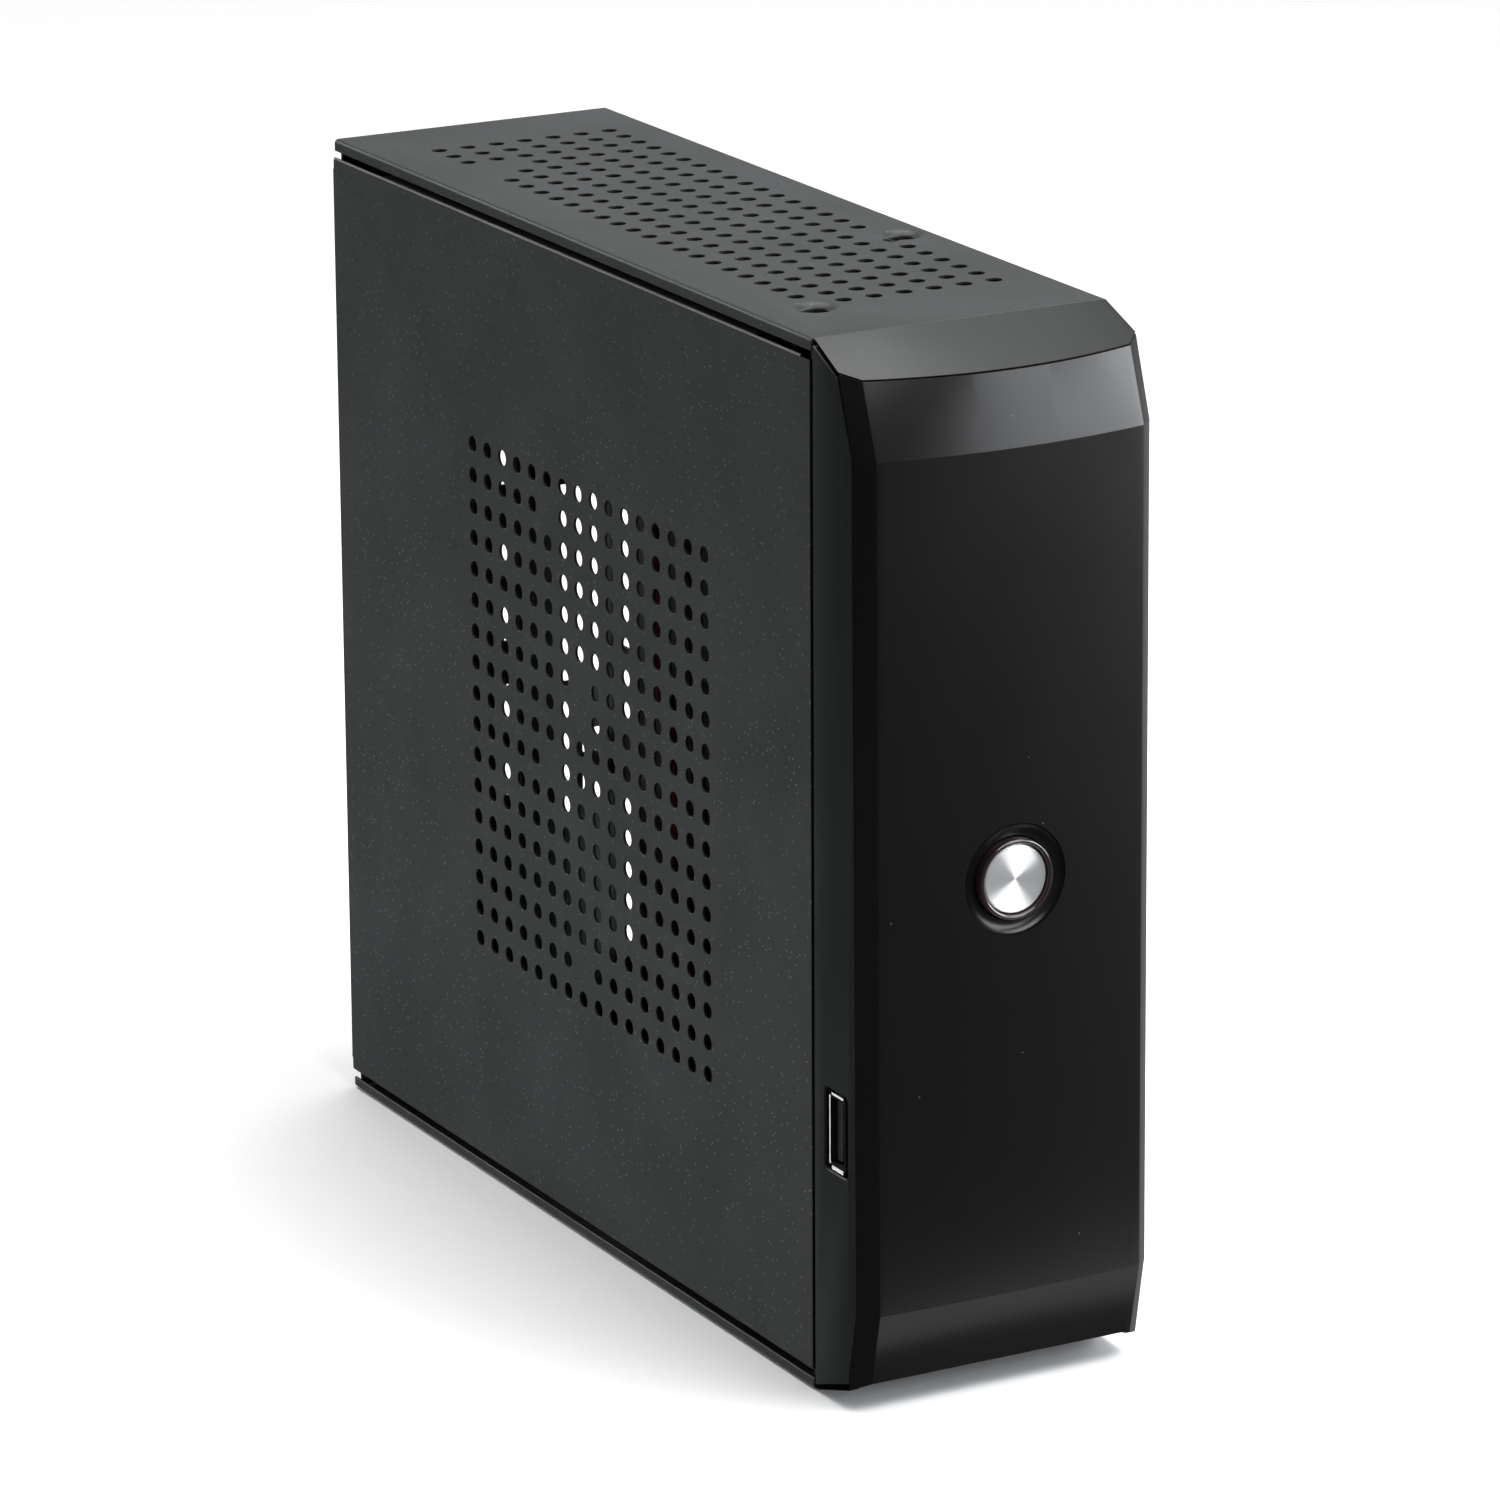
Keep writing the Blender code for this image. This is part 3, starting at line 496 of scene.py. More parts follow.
def block(bm, low, high, slot=0):
    """A box between two corners of the case's frame."""
    corners = [at(x, y, z) for x in (low[0], high[0]) for y in (low[1], high[1]) for z in (low[2], high[2])]
    verts = [bm.verts.new(corner) for corner in corners]
    for face in ((0, 1, 3, 2), (4, 6, 7, 5), (0, 4, 5, 1), (2, 3, 7, 6), (0, 2, 6, 4), (1, 5, 7, 3)):
        bm.faces.new([verts[index] for index in face]).material_index = slot


def soften(bm, width, segments=2, angle=SHARP):
    """Round every edge sharper than the angle."""
    limit = math.radians(angle)
    edges = [e for e in bm.edges if len(e.link_faces) == 2 and e.calc_face_angle(0.0) > limit]
    bmesh.ops.bevel(bm, geom=edges, offset=width * MM, segments=segments, profile=0.6,
                    affect="EDGES", clamp_overlap=True)


def blocks(name, boxes, look, width=0.08, segments=1, nodes=()):
    """Boxes with softened edges, as one piece."""
    bm = bmesh.new()
    for low, high in boxes:
        block(bm, low, high)
    soften(bm, width, segments)
    return add_piece(name, bm, look, nodes)


def refined(node, look):
    """The CAD node's own shape with its flat faces whole again and its edges softened."""
    bm = bmesh.new()
    bm.from_mesh(NODES[node].data)
    bmesh.ops.remove_doubles(bm, verts=bm.verts, dist=2e-6)
    bmesh.ops.dissolve_limit(bm, angle_limit=math.radians(0.5), verts=bm.verts, edges=bm.edges)
    soften(bm, 0.2)
    add_piece(node + "_detail", bm, look, [node], "power_button" if node == "button_plunger" else "case")


def boolean(obj, tool_bm):
    """Cut a closed bmesh out of a piece, and bake the result into its mesh."""
    bmesh.ops.recalc_face_normals(tool_bm, faces=tool_bm.faces)
    mesh = bpy.data.meshes.new("tool")
    tool_bm.to_mesh(mesh)
    tool_bm.free()
    for each in obj.data.materials:
        mesh.materials.append(each)
    tool = new_object("tool", mesh)
    modifier = obj.modifiers.new("cut", "BOOLEAN")
    modifier.operation, modifier.solver, modifier.object = "DIFFERENCE", "EXACT", tool
    bpy.context.view_layer.update()
    result = bpy.data.meshes.new_from_object(obj.evaluated_get(bpy.context.evaluated_depsgraph_get()))
    obj.modifiers.clear()
    old, obj.data = obj.data, result
    bpy.data.meshes.remove(old)
    bpy.data.objects.remove(tool)
    bpy.data.meshes.remove(mesh)
    obj.data.shade_smooth()
    obj.data.set_sharp_from_angle(angle=math.radians(SHARP))


# ---------------------------------------------------------------- sheet metal case

COVER_COLUMNS, COVER_ROWS = 16, 17
COVER_FIRST_Y, COVER_FIRST_Z = 39.5, 47.65
COVER_BLANKS = {(10, 15), (10, 7), (8, 10), (8, 9), (8, 1)}
TOP_COLUMNS, TOP_ROWS = 7, 25
TOP_FIRST_X, TOP_FIRST_Y = 12.9, 22.6
TOP_BLANKS = {(0, 20), (0, 21), (1, 21), (6, 7), (0, 0)}
DIMPLES = ((12.0, 20.3), (53.4, 62.3))
DIMPLE_RIM, DIMPLE_HOLE, DIMPLE_DEPTH = 4.9, 2.75, 1.05
DIMPLE_GUIDES = (0.15, 0.4, 0.7, 1.0, 1.35, 1.7, 2.0, 2.15)
BEND = 0.8


def holes(first_u, first_v, columns, rows, blanks):
    """The round holes of a square lattice, but for its blank places."""
    return [circle(first_u + i * PITCH, first_v + j * PITCH, HOLE_RADIUS)
            for i in range(columns) for j in range(rows) if (i, j) not in blanks]


def make_cover():
    """The left side: perforated, with lips folded in above and below and a flange folded over the back."""
    (_, y0, z0), (flange_x, y1, z1) = span("left_cover")
    lip, lip_y0, lip_y1 = 3.0, 20.0, 168.0
    flange_z0, flange_z1 = 6.0, 187.0
    arc = BEND * math.pi / 2
    low_z, high_z, end_y = z0 + BEND, z1 - BEND, y1 - BEND
    v0, v1 = low_z - arc - lip, high_z + arc + lip
    u1 = end_y + arc + flange_x - BEND
    screw_u = end_y + arc + (COVER_SCREW_X - BEND)
    cutouts = holes(COVER_FIRST_Y, COVER_FIRST_Z, COVER_COLUMNS, COVER_ROWS, COVER_BLANKS)
    tab = arc * 0.62
    for v_low, v_high in ((v0 - 1, low_z - tab), (high_z + tab, v1 + 1)):
        cutouts.append([(y0 - 1, v_low), (lip_y0, v_low), (lip_y0, v_high), (y0 - 1, v_high)])
        cutouts.append([(lip_y1, v_low), (u1 + 1, v_low), (u1 + 1, v_high), (lip_y1, v_high)])
    for v_low, v_high in ((v0 - 1, flange_z0), (flange_z1, v1 + 1)):
        cutouts.append([(end_y, v_low), (u1 + 1, v_low), (u1 + 1, v_high), (end_y, v_high)])
    slot = 2.2
    for z in COVER_SCREWS_Z:
        half = [(screw_u + slot * math.cos(a), z + slot * math.sin(a))
                for a in [math.pi / 2 + math.pi * k / 12 for k in range(13)]]
        cutouts.append(half + [(u1 + 1, z - slot), (u1 + 1, z + slot)])
    # The small notch in the top edge, next to the front.
    notch_y, notch_v = y0 + 3.4, high_z + tab * 0.4
    cutouts.append([(y0 - 1, notch_v), (notch_y, notch_v), (notch_y, v1 + 1), (y0 - 1, v1 + 1)])
    guides = swap(bend_guides(low_z, -1, BEND, y0, u1)) + swap(bend_guides(high_z, 1, BEND, y0, u1))
    guides += bend_guides(end_y, 1, BEND, v0, v1)

    def place(u, v, w):
        y, depth_y = fold(u, w, y0 - 5, end_y, BEND)
        if u > end_y:
            return depth_y, y, v
        z, depth_z = fold(v, w, low_z, high_z, BEND)
        return depth_z, u, z

    sheet_metal("left_cover", "cover_sheet", flat_pattern((y0, v0, u1, v1), cutouts, guides), place,
                "left_cover")


def dent(x, y):
    """How far the top is pressed down there, round its two trumpet-shaped screw dimples."""
    for u, v in DIMPLES:
        r = math.hypot(x - u, y - v)
        if r < DIMPLE_RIM:
            t = min(1.0, (DIMPLE_RIM - r) / (DIMPLE_RIM - DIMPLE_HOLE))
            return DIMPLE_DEPTH * (0.3 * t + 0.7 * t ** 3)
    return 0.0


def make_folded(node, name, drops, up, cutouts=(), guides=()):
    """The top or the bottom: a sheet with its left and right edges folded by those drops."""
    (_, y0, z0), (x1, y1, z1) = span(node)
    arc = BEND * math.pi / 2
    left, right = BEND, x1 - BEND
    border = (left - arc - drops[0], y0, right + arc + drops[1], y1)
    bends = bend_guides(left, -1, BEND, y0, y1) + bend_guides(right, 1, BEND, y0, y1)

    def place(u, v, w):
        x, depth = fold(u, w, left, right, BEND)
        return x, v, z1 - depth - dent(u, v) if up else z0 + depth

    sheet_metal(node, name, flat_pattern(border, cutouts, bends + list(guides)), place)


def make_top():
    """The perforated top, with its two screw dimples."""
    cutouts = holes(TOP_FIRST_X, TOP_FIRST_Y, TOP_COLUMNS, TOP_ROWS, TOP_BLANKS)
    cutouts += [circle(x, y, DIMPLE_HOLE) for x, y in DIMPLES]
    guides = [(circle(x, y, DIMPLE_HOLE + step), True) for x, y in DIMPLES for step in DIMPLE_GUIDES]
    make_folded("top_panel", "top_sheet", (1.5, 0.9), True, cutouts, guides)


def make_right():
    """The right side, with vents near the back and four shallow stud marks."""
    (_, y0, _), (x1, y1, _) = span("right_panel")
    margin = BEND + 0.92
    vents = ((20.5, 54.0), (66.3, 80.5), (84.5, 114.0))
    cutouts = [rounded(179.5, low, 185.0, high, 1.2) for low, high in vents]
    studs = [(y, z) for y in (22.0, 161.0) for z in (126.5, 184.0)]
    stud_radius, stud_depth = 2.8, 0.12
    guides = [(circle(y, z, stud_radius + step), True) for y, z in studs for step in (0.1, -0.1)]

    def place(u, v, w):
        sunk = any(math.hypot(u - y, v - z) < stud_radius for y, z in studs)
        return x1 - w - (stud_depth if sunk else 0.0), u, v

    sheet_metal("right_panel", "right_sheet",
                flat_pattern((y0, margin, y1, HEIGHT - margin), cutouts, guides), place)


def make_rear():
    """The back, with windows for the ports, vents and round holes for the cover's screws."""
    (x0, _, z0), (x1, y1, z1) = span("rear_panel")
    windows = [
        ((38.6, 123.6), (50.3, 133.4)),
        ((43.7, 135.1), (50.3, 150.9)),
        ((33.9, 152.6), (50.3, 166.6)),
        ((36.0, 168.6), (50.3, 185.4)),
        ((46.5, 78.0), (57.0, 118.5)),
        ((46.4, 50.5), (50.0, 74.5)),
        ((51.2, 51.5), (57.0, 58.5)),
        ((51.2, 62.5), (57.0, 67.5)),
    ]
    windows += [((32.8, 56.2 + 16 * step), (37.2, 63.2 + 16 * step)) for step in range(5)]
    cutouts = [rounded(*low, *high, 0.6) for low, high in windows]
    cutouts += [circle(COVER_SCREW_X, z, 2.0) for z in COVER_SCREWS_Z]

    def place(u, v, w):
        return u, y1 - w, v

    more = 0.2
    pattern = flat_pattern((x0 - more, z0 - more, x1 + more, z1 + more), cutouts, [])
    sheet_metal("rear_panel", "rear_sheet", pattern, place)


# ---------------------------------------------------------------- moulded front

# Each row of the faceted plate is (side y, side z, front z, bow at the middle).
FRONT_ROWS = (
    (0.0, HEIGHT, HEIGHT, 0.0),
    (-9.3, 189.0, 187.9, 4.9),
    (-14.2, 174.4, 174.4, 2.8),
    (-15.4, 19.4, 19.4, 0.6),
    (-12.5, 4.1, 5.8, 0.0),
    (0.0, 0.0, 0.0, 0.0),
)
INWARD = ((0.0, -1.0), (0.75, -0.9), (1.0, -0.25), (1.0, 0.2), (0.85, 0.7), (0.0, 1.0))
CORNER = 3.0
PLATE = 2.0
RIM = 0.9
BOW_STEPS = 40
STRIP = 1.6
STRIP_OUTLINE = ((-0.3, 1.2), (-12.2, 5.3), (-15.1, 19.5), (-13.9, 174.3), (-9.0, 187.8), (-0.3, 191.8))
DISH_BORE, DISH_FLOOR, DISH_RIM = 7.7, 8.4, 10.25
DISH_FLOOR_Y = -18.1
# The groove's bottom and lower lip, as (distance down the facet, depth), and how its depth tilts downward.
GROOVE = ((0.17, 0.42), (0.36, 0.0))
GROOVE_TILT = 6.0


def front_point(row, step):
    """A point of the plate's outer face. The steps before and after the bow are its side edges."""
    side_y, side_z, front_z, bow = FRONT_ROWS[row]
    at_seam = side_y == 0.0
    if step < 0 or step > BOW_STEPS:
        inset = 0.5 if at_seam else 0.0
        return Vector((inset if step < 0 else WIDTH - inset, side_y, side_z))
    across = 2 * step / BOW_STEPS - 1
    corner = 0.0 if at_seam else CORNER
    x = WIDTH / 2 + across * (WIDTH / 2 - CORNER)
    return Vector((x, side_y - corner - bow * (1 - across ** 2), front_z))


def inner_point(row, step):
    """The point of the plate's inner face behind it."""
    outer = front_point(row, step)
    back, up = INWARD[row]
    if step < 0 or step > BOW_STEPS:
        edge = 2.0 if step < 0 else WIDTH - 2.0
        rim = RIM * up if row in (0, 1, 5) else 0.0
        return Vector((edge, outer.y, outer.z + rim))
    squeeze = 1 - 0.8 / (WIDTH / 2 - CORNER)
    x = WIDTH / 2 + (outer.x - WIDTH / 2) * squeeze
    return Vector((x, outer.y + back * PLATE, outer.z + up * PLATE))


def groove_point(step, along, sunk):
    """A point of the fine groove between the cap and the upper facet."""
    edge, lower = front_point(1, step), front_point(2, step)
    inward = Vector((WIDTH / 2, 0.0, edge.z - GROOVE_TILT)) - edge
    return edge + (lower - edge).normalized() * along + inward.normalized() * sunk


def make_front_plate():
    """The glossy wrap of six flat rows, with its cap and sole in the bezel's matte plastic."""
    bm = bmesh.new()
    steps = range(-1, BOW_STEPS + 2)
    rows = range(len(FRONT_ROWS))
    outer = [[bm.verts.new(at(*front_point(row, step))) for step in steps] for row in rows]
    inner = [[bm.verts.new(at(*inner_point(row, step))) for step in steps] for row in rows]
    groove = [[bm.verts.new(at(*groove_point(step, *spot))) for step in steps] for spot in GROOVE]
    last_row, last_step = len(outer) - 1, len(outer[0]) - 1

    def join(near, far, look):
        for step in range(last_step):
            wall = (near[step], near[step + 1], far[step + 1], far[step])
            bm.faces.new(wall).material_index = look

    for row in range(last_row):
        look = 1 if row in (0, last_row - 1) else 0
        bands = [outer[row], *groove, outer[row + 1]] if row == 1 else [outer[row], outer[row + 1]]
        for near, far in zip(bands, bands[1:]):
            # The groove's upper wall takes the edge finish: a painted shade line between the cap and the
            # upper facet.
            join(near, far, 2 if near is outer[1] and far is groove[0] else look)
        join(inner[row], inner[row + 1], look)
        for step in (0, last_step):
            bm.faces.new([band[step] for band in bands] + [inner[row + 1][step], inner[row][step]])
    for row in (0, last_row):
        join(outer[row], inner[row], 1)
    bmesh.ops.recalc_face_normals(bm, faces=bm.faces)
    soften(bm, 0.16, angle=6)
    plate = add_piece("front_shell", bm, ["gloss", "bezel", "edge"], ["front_plate"])
    boolean(plate, dish_cutter())
    plate.data.set_sharp_from_angle(angle=math.radians(FRONT_SHARP))


def dish_cutter():
    """The round dish that the button sits in, with a bore behind it for the light ring."""
    bm = bmesh.new()
    profile = [(DISH_BORE, 4.0), (DISH_BORE, 0.0), (DISH_FLOOR, 0.0)]
    for k in range(1, 7):
        turn = k / 6 * math.pi / 2
        profile.append((DISH_FLOOR + (DISH_RIM - DISH_FLOOR) * math.sin(turn) ** 0.9,
                        -1.42 * (1 - math.cos(turn)) ** 0.8))
    profile += [(DISH_RIM + 0.12, -1.52), (DISH_RIM + 0.5, -3.0)]
    tube(bm, [[(x, DISH_FLOOR_Y + distance, z) for x, z in circle(WIDTH / 2, BUTTON_Z, radius, 64)]
              for radius, distance in profile])
    return bm


def make_strips():
    """The matte side strips of the front. The left one has the USB opening."""
    for side, start in (("left", 0.0), ("right", WIDTH - STRIP)):
        bm = bmesh.new()
        slab(bm, STRIP_OUTLINE, start, start + STRIP)
        bmesh.ops.recalc_face_normals(bm, faces=bm.faces)
        soften(bm, 0.18)
        strip = add_piece(f"{side}_strip", bm, ["bezel", "edge"], [f"bezel_{side}_strip"])
        if side == "left":
            boolean(strip, socket_cutter())


USB_Y, USB_Z = -7.95, 51.1
USB_HALF_Y, USB_HALF_Z = 4.15, 7.6


def socket_cutter():
    """The USB opening: rounded corners and a small bevel round its outer edge."""
    bm = bmesh.new()
    layers = ((-1.0, 1.3), (0.0, 0.22), (0.25, 0.0), (3.0, 0.0))
    outlines = []
    for x, grow in layers:
        loop = rounded(USB_Y - USB_HALF_Y - grow, USB_Z - USB_HALF_Z - grow,
                       USB_Y + USB_HALF_Y + grow, USB_Z + USB_HALF_Z + grow, 0.9 + grow, 5)
        outlines.append([(x, y, z) for y, z in loop])
    # The opening's inner walls take the strip's edge finish: painted shade.
    for wall in tube(bm, outlines)[-1]:
        wall.material_index = 1
    return bm


USB_WALL, USB_MOUTH_X = 0.36, 0.30
LIP_TURN = math.radians(62)


def flared_lip(bm, edge, sign, flare, reach, half):
    """A short side of the socket that curls outward: a strip of sheet, four facets long."""
    rows = []
    for k in range(5):
        angle = LIP_TURN * k / 4
        z = edge + sign * flare * (1 - math.cos(angle)) / (1 - math.cos(LIP_TURN))
        x = USB_MOUTH_X + reach * (1 - math.sin(angle) / math.sin(LIP_TURN))
        rows.append([bm.verts.new(at(x, USB_Y + side, z + back))
                     for back in (0.0, -sign * USB_WALL) for side in (-half, half)])
    for near, far in zip(rows, rows[1:]):
        for a, b in ((0, 1), (3, 2), (2, 0), (1, 3)):
            # The lips take the pale nickel: a painted highlight.
            bm.faces.new((near[a], near[b], far[b], far[a])).material_index = 1
    for row in (rows[0], rows[-1]):
        bm.faces.new([row[k] for k in (0, 2, 3, 1)]).material_index = 1


def make_front_usb():
    """Socket shell with two flared lips, painted highlights and shade on its metal, a dark tongue and its
    contacts.
    """
    (_, y0, z0), (x1, y1, z1) = span("usb_front_shell")
    bm = bmesh.new()
    outer = rounded(y0, z0, y1, z1, 0.5, 3)
    inner = rounded(y0 + USB_WALL, z0 + USB_WALL, y1 - USB_WALL, z1 - USB_WALL, 0.3, 3)
    loops = [(x1, outer), (USB_MOUTH_X, outer), (USB_MOUTH_X, inner), (x1 - USB_WALL, inner)]
    # Painted light: the mouth's side nearest the back takes the pale nickel, a painted highlight; the inner
    # walls and the mouth's other sides take the edge finish, painted shade.
    _, mouth, walls = tube(bm, [[(x, y, z) for y, z in loop] for x, loop in loops])
    for wall in walls:
        wall.material_index = 2
    for wall, (y, _), (next_y, _) in zip(mouth, outer, outer[1:] + outer[:1]):
        wall.material_index = 1 if min(y, next_y) > y1 - USB_WALL else 2
    flared_lip(bm, z1, 1, 0.45, 0.5, 2.0)
    flared_lip(bm, z0, -1, 0.75, 0.5, 2.0)
    add_piece("usb_front_shell_detail", bm, ["steel", "nickel", "edge"], ["usb_front_shell"])

    low, high = span("usb_front_tongue")
    blocks("usb_front_tongue_detail", [(low, high)], "black", 0.25, 2, ["usb_front_tongue"])
    middles = [USB_Z + (k - 1.5) * 2.4 for k in range(4)]
    contacts = [((low[0] + 0.3, low[1] - 0.12, z - 0.5), (high[0] - 1, low[1] + 0.05, z + 0.5))
                for z in middles]
    blocks("usb_front_contacts", contacts, "brass", 0.04)


# ---------------------------------------------------------------- power button

def make_button():
    """The domed disc with its fine turned steps, and the ring round it."""
    (_, face_y, _), (_, back_y, _) = span("power_button_cap")
    centre = (WIDTH / 2, face_y, BUTTON_Z)
    radius, rise = 6.25, 0.10
    profile = [(0, rise)]
    rings = 44
    for k in range(1, rings):
        r = (radius - 0.35) * k / rings
        dome = rise * (1 - (r / radius) ** 2)
        profile.append((r, 0.012 * (k % 2) + dome))
    profile += [(radius - 0.30, 0.0), (radius - 0.16, 0.04), (radius - 0.05, 0.14), (radius, 0.30),
                (radius, back_y - face_y), (0, back_y - face_y)]
    lathe("power_button_disc", centre, "y", profile, "spun", ["power_button_cap"], "power_button", 96, 40)
    ring = [(6.5, 7.5), (6.5, 0.42), (6.56, 0.22), (6.70, 0.07), (6.88, 0.0), (7.08, 0.02), (7.24, 0.12),
            (7.35, 0.30), (7.4, 0.55), (7.4, 3.4), (9.2, 3.4), (9.2, 4.4), (7.4, 4.4), (7.4, 7.5), (6.5, 7.5)]
    ring_y = span("light_ring")[0][1]
    lathe("light_ring_detail", (WIDTH / 2, ring_y, BUTTON_Z), "y", ring, "pipe", ["light_ring"],
          sides=96, sharp=40)


# ---------------------------------------------------------------- screws, rear ports and board parts

def cross_recess(piece, centre, axis, reach, depth):
    """Cut a cross into a screw head, that far across and that far down."""
    arm = 0.28
    others = [letter for letter in "xyz" if letter != axis]
    for wide, narrow in (others, others[::-1]):
        half = {axis: depth, wide: reach, narrow: arm}
        tool = bmesh.new()
        block(tool, *[[c + sign * half[k] for c, k in zip(centre, "xyz")] for sign in (-1, 1)])
        boolean(piece, tool)


def make_cover_screws():
    """Knurled thumb screws with a cross recess."""
    for node in ("cover_screw_lower", "cover_screw_upper"):
        low, high = span(node)
        x, z = (low[0] + high[0]) / 2, (low[2] + high[2]) / 2
        tip, top, radius = low[1], high[1], (high[0] - low[0]) / 2
        head_height = 2.5
        base = top - head_height

        def knurl(step, r, _):
            return -0.16 if step % 2 and r > radius - 0.2 else 0.0

        profile = [(0, tip), (1.1, tip), (1.6, tip + 0.5), (1.6, base), (radius - 0.5, base),
                   (radius - 0.1, base + 0.3), (radius - 0.1, top - 0.5), (radius - 0.5, top - 0.1),
                   (radius - 0.8, top), (0, top)]
        screw = lathe(node + "_detail", (x, 0, z), "y", profile, "steel", [node], sides=80, wobble=knurl)
        cross_recess(screw, (x, top, z), "y", 2.0, 1.1)


def make_small_screws():
    """Pan-head screws of the board (along x) and of the drive (along z)."""
    kinds = (("board_screw", "x"), ("drive_screw", "z"))
    for node, axis in [(f"{kind}_{k}", axis) for kind, axis in kinds for k in range(1, 5)]:
        low, high = span(node)
        centre = [(a + b) / 2 for a, b in zip(low, high)]
        index = "xyz".index(axis)
        outward = -1 if axis == "x" or centre[2] < DRIVE_MIDDLE_Z else 1
        reach = (high[index] - low[index]) / 2
        radius = (high[1] - low[1]) / 2
        shank, head_height = 1.2, 1.5
        profile = [(0, reach), (shank, reach), (shank, -reach + head_height), (radius, -reach + head_height),
                   (radius, -reach + 0.9), (radius * 0.85, -reach + 0.3), (radius * 0.5, -reach + 0.05),
                   (0, -reach)]
        profile = [(r, -outward * d) for r, d in profile]
        screw = lathe(node + "_detail", centre, axis, profile, "steel", [node], sides=28)
        head = list(centre)
        head[index] += outward * reach
        cross_recess(screw, head, axis, 1.5, 0.8)


def hollow(node, cavities, width=0.25):
    """A port's steel shell: its CAD box with softened edges and cavities open to the back."""
    shell = blocks(node + "_detail", [span(node)], ["steel", "edge"], width, 2, [node])
    for low, high in cavities:
        tool = bmesh.new()
        # The cavities' walls take the edge finish: painted shade inside the port.
        block(tool, low, high, 1)
        boolean(shell, tool)


def make_rear_ports():
    """The insides of the ports at the back: tongues, contacts, springs and lamps."""
    back = span("hdmi_port")[1][1]
    out = back + 2      # where the cavities' cutters end, clear of the shells
    hollow("hdmi_port", [((44.7, 178.5, 136.2), (49.3, out, 149.8))])
    blocks("hdmi_tongue", [((46.4, 178.0, 137.8), (47.6, back - 0.8, 148.2))], "black")
    pins = [((46.3, 179.0, 138.6 + k), (46.45, back - 1.2, 139.1 + k)) for k in range(9)]
    blocks("hdmi_contacts", pins, "brass", 0.03)
    floors = (35.1, 43.4)
    hollow("usb_rear_stack", [((x, 174, 153.4), (x + 5.1, out, 165.8)) for x in floors])
    tongues = [((x + 0.7, 173, 154.2), (x + 2.6, back - 0.8, 165.0)) for x in floors]
    blocks("usb_rear_tongues", tongues, "black", 0.2)
    contacts = [((x + 2.55, 175, 155.3 + 2.4 * k), (x + 2.75, back - 1.4, 156.3 + 2.4 * k))
                for x in floors for k in range(4)]
    blocks("usb_rear_contacts", contacts, "brass", 0.04)
    springs = [((x + 4.7, 183.2, 156.2 + 4.6 * k), (x + 4.95, back - 0.6, 158.2 + 4.6 * k))
               for x in floors for k in range(2)]
    blocks("usb_rear_springs", springs, "steel")
    mouth, latch_slot = ((38.9, 174.0, 171.0), (47.5, out, 183.0)), ((47.2, 182.0, 174.0), (49.0, out, 180.0))
    hollow("lan_jack", (mouth, latch_slot), 0.3)
    pins = [((39.0, 176.0, 172.9 + 1.02 * k), (40.8, back - 3.0, 173.3 + 1.02 * k)) for k in range(8)]
    blocks("lan_contacts", pins, "brass")
    lamps = [((37.0, back - 1.5, z), (38.5, back + 0.02, z + 2.6)) for z in (171.2, 180.2)]
    blocks("lan_lamps", lamps, "lamp", 0.15)
    refined("dc_jack", "black")
    socket = (44.45, back, 128.5)
    tip = [(0, -0.95), (0.6, -0.95), (0.95, -1.4), (0.95, -6), (0, -6)]
    lathe("dc_pin_tip", socket, "y", tip, "nickel", sides=24)
    wall = [(2.88, -0.6), (2.88, -9), (2.7, -9), (2.7, -0.6), (2.88, -0.6)]
    lathe("dc_sleeve", socket, "y", wall, "nickel", sides=32)


def on_board(y0, z0, y1, z1, tall):
    """A box that stands that tall on the board's left face."""
    return (BOARD_FACE - tall, y0, z0), (BOARD_FACE, y1, z1)


def make_small_parts():
    """Chokes, capacitors and chips with legs on the board's left face."""
    y, size = 55.2, 6.4
    chokes = [on_board(y, z, y + size, z + size, 3.8) for z in (134, 142, 150, 158)]
    blocks("chokes", chokes, "chip", 0.5)
    can = [(0, -6.6), (2.2, -6.6), (2.35, -6.45), (2.35, -6.7), (2.75, -6.75), (3.0, -6.5), (3.0, -1.4),
           (2.8, -1.2), (2.8, -1.0), (3.0, -0.8), (3.0, 0), (0, 0)]
    for number, z in enumerate((136, 144, 152, 160, 168), 1):
        lathe(f"capacitor_{number}", (BOARD_FACE, 129.2, z), "x", can, "alloy", sides=32)
    chips = ((148.8, 172, 156.8, 180, 1.3), (32, 138, 42, 146, 1.2), (150.5, 134, 157.5, 141, 1.4),
             (58, 176, 63, 182, 1.1), (18, 140, 24, 146, 1.0))
    blocks("small_chips", [on_board(*chip) for chip in chips], "chip", 0.15)
    pitch, reach, sunk = 0.8, 0.7, 0.1
    legs = []
    for y0, z0, y1, z1, _ in chips:
        for k in range(int((z1 - z0 - 1) / pitch)):
            z = z0 + 0.7 + pitch * k
            for y in (y0 - reach, y1 - sunk):
                legs.append(on_board(y, z, y + reach + sunk, z + 0.35, 0.5))
    blocks("chip_legs", legs, "nickel", 0.05)


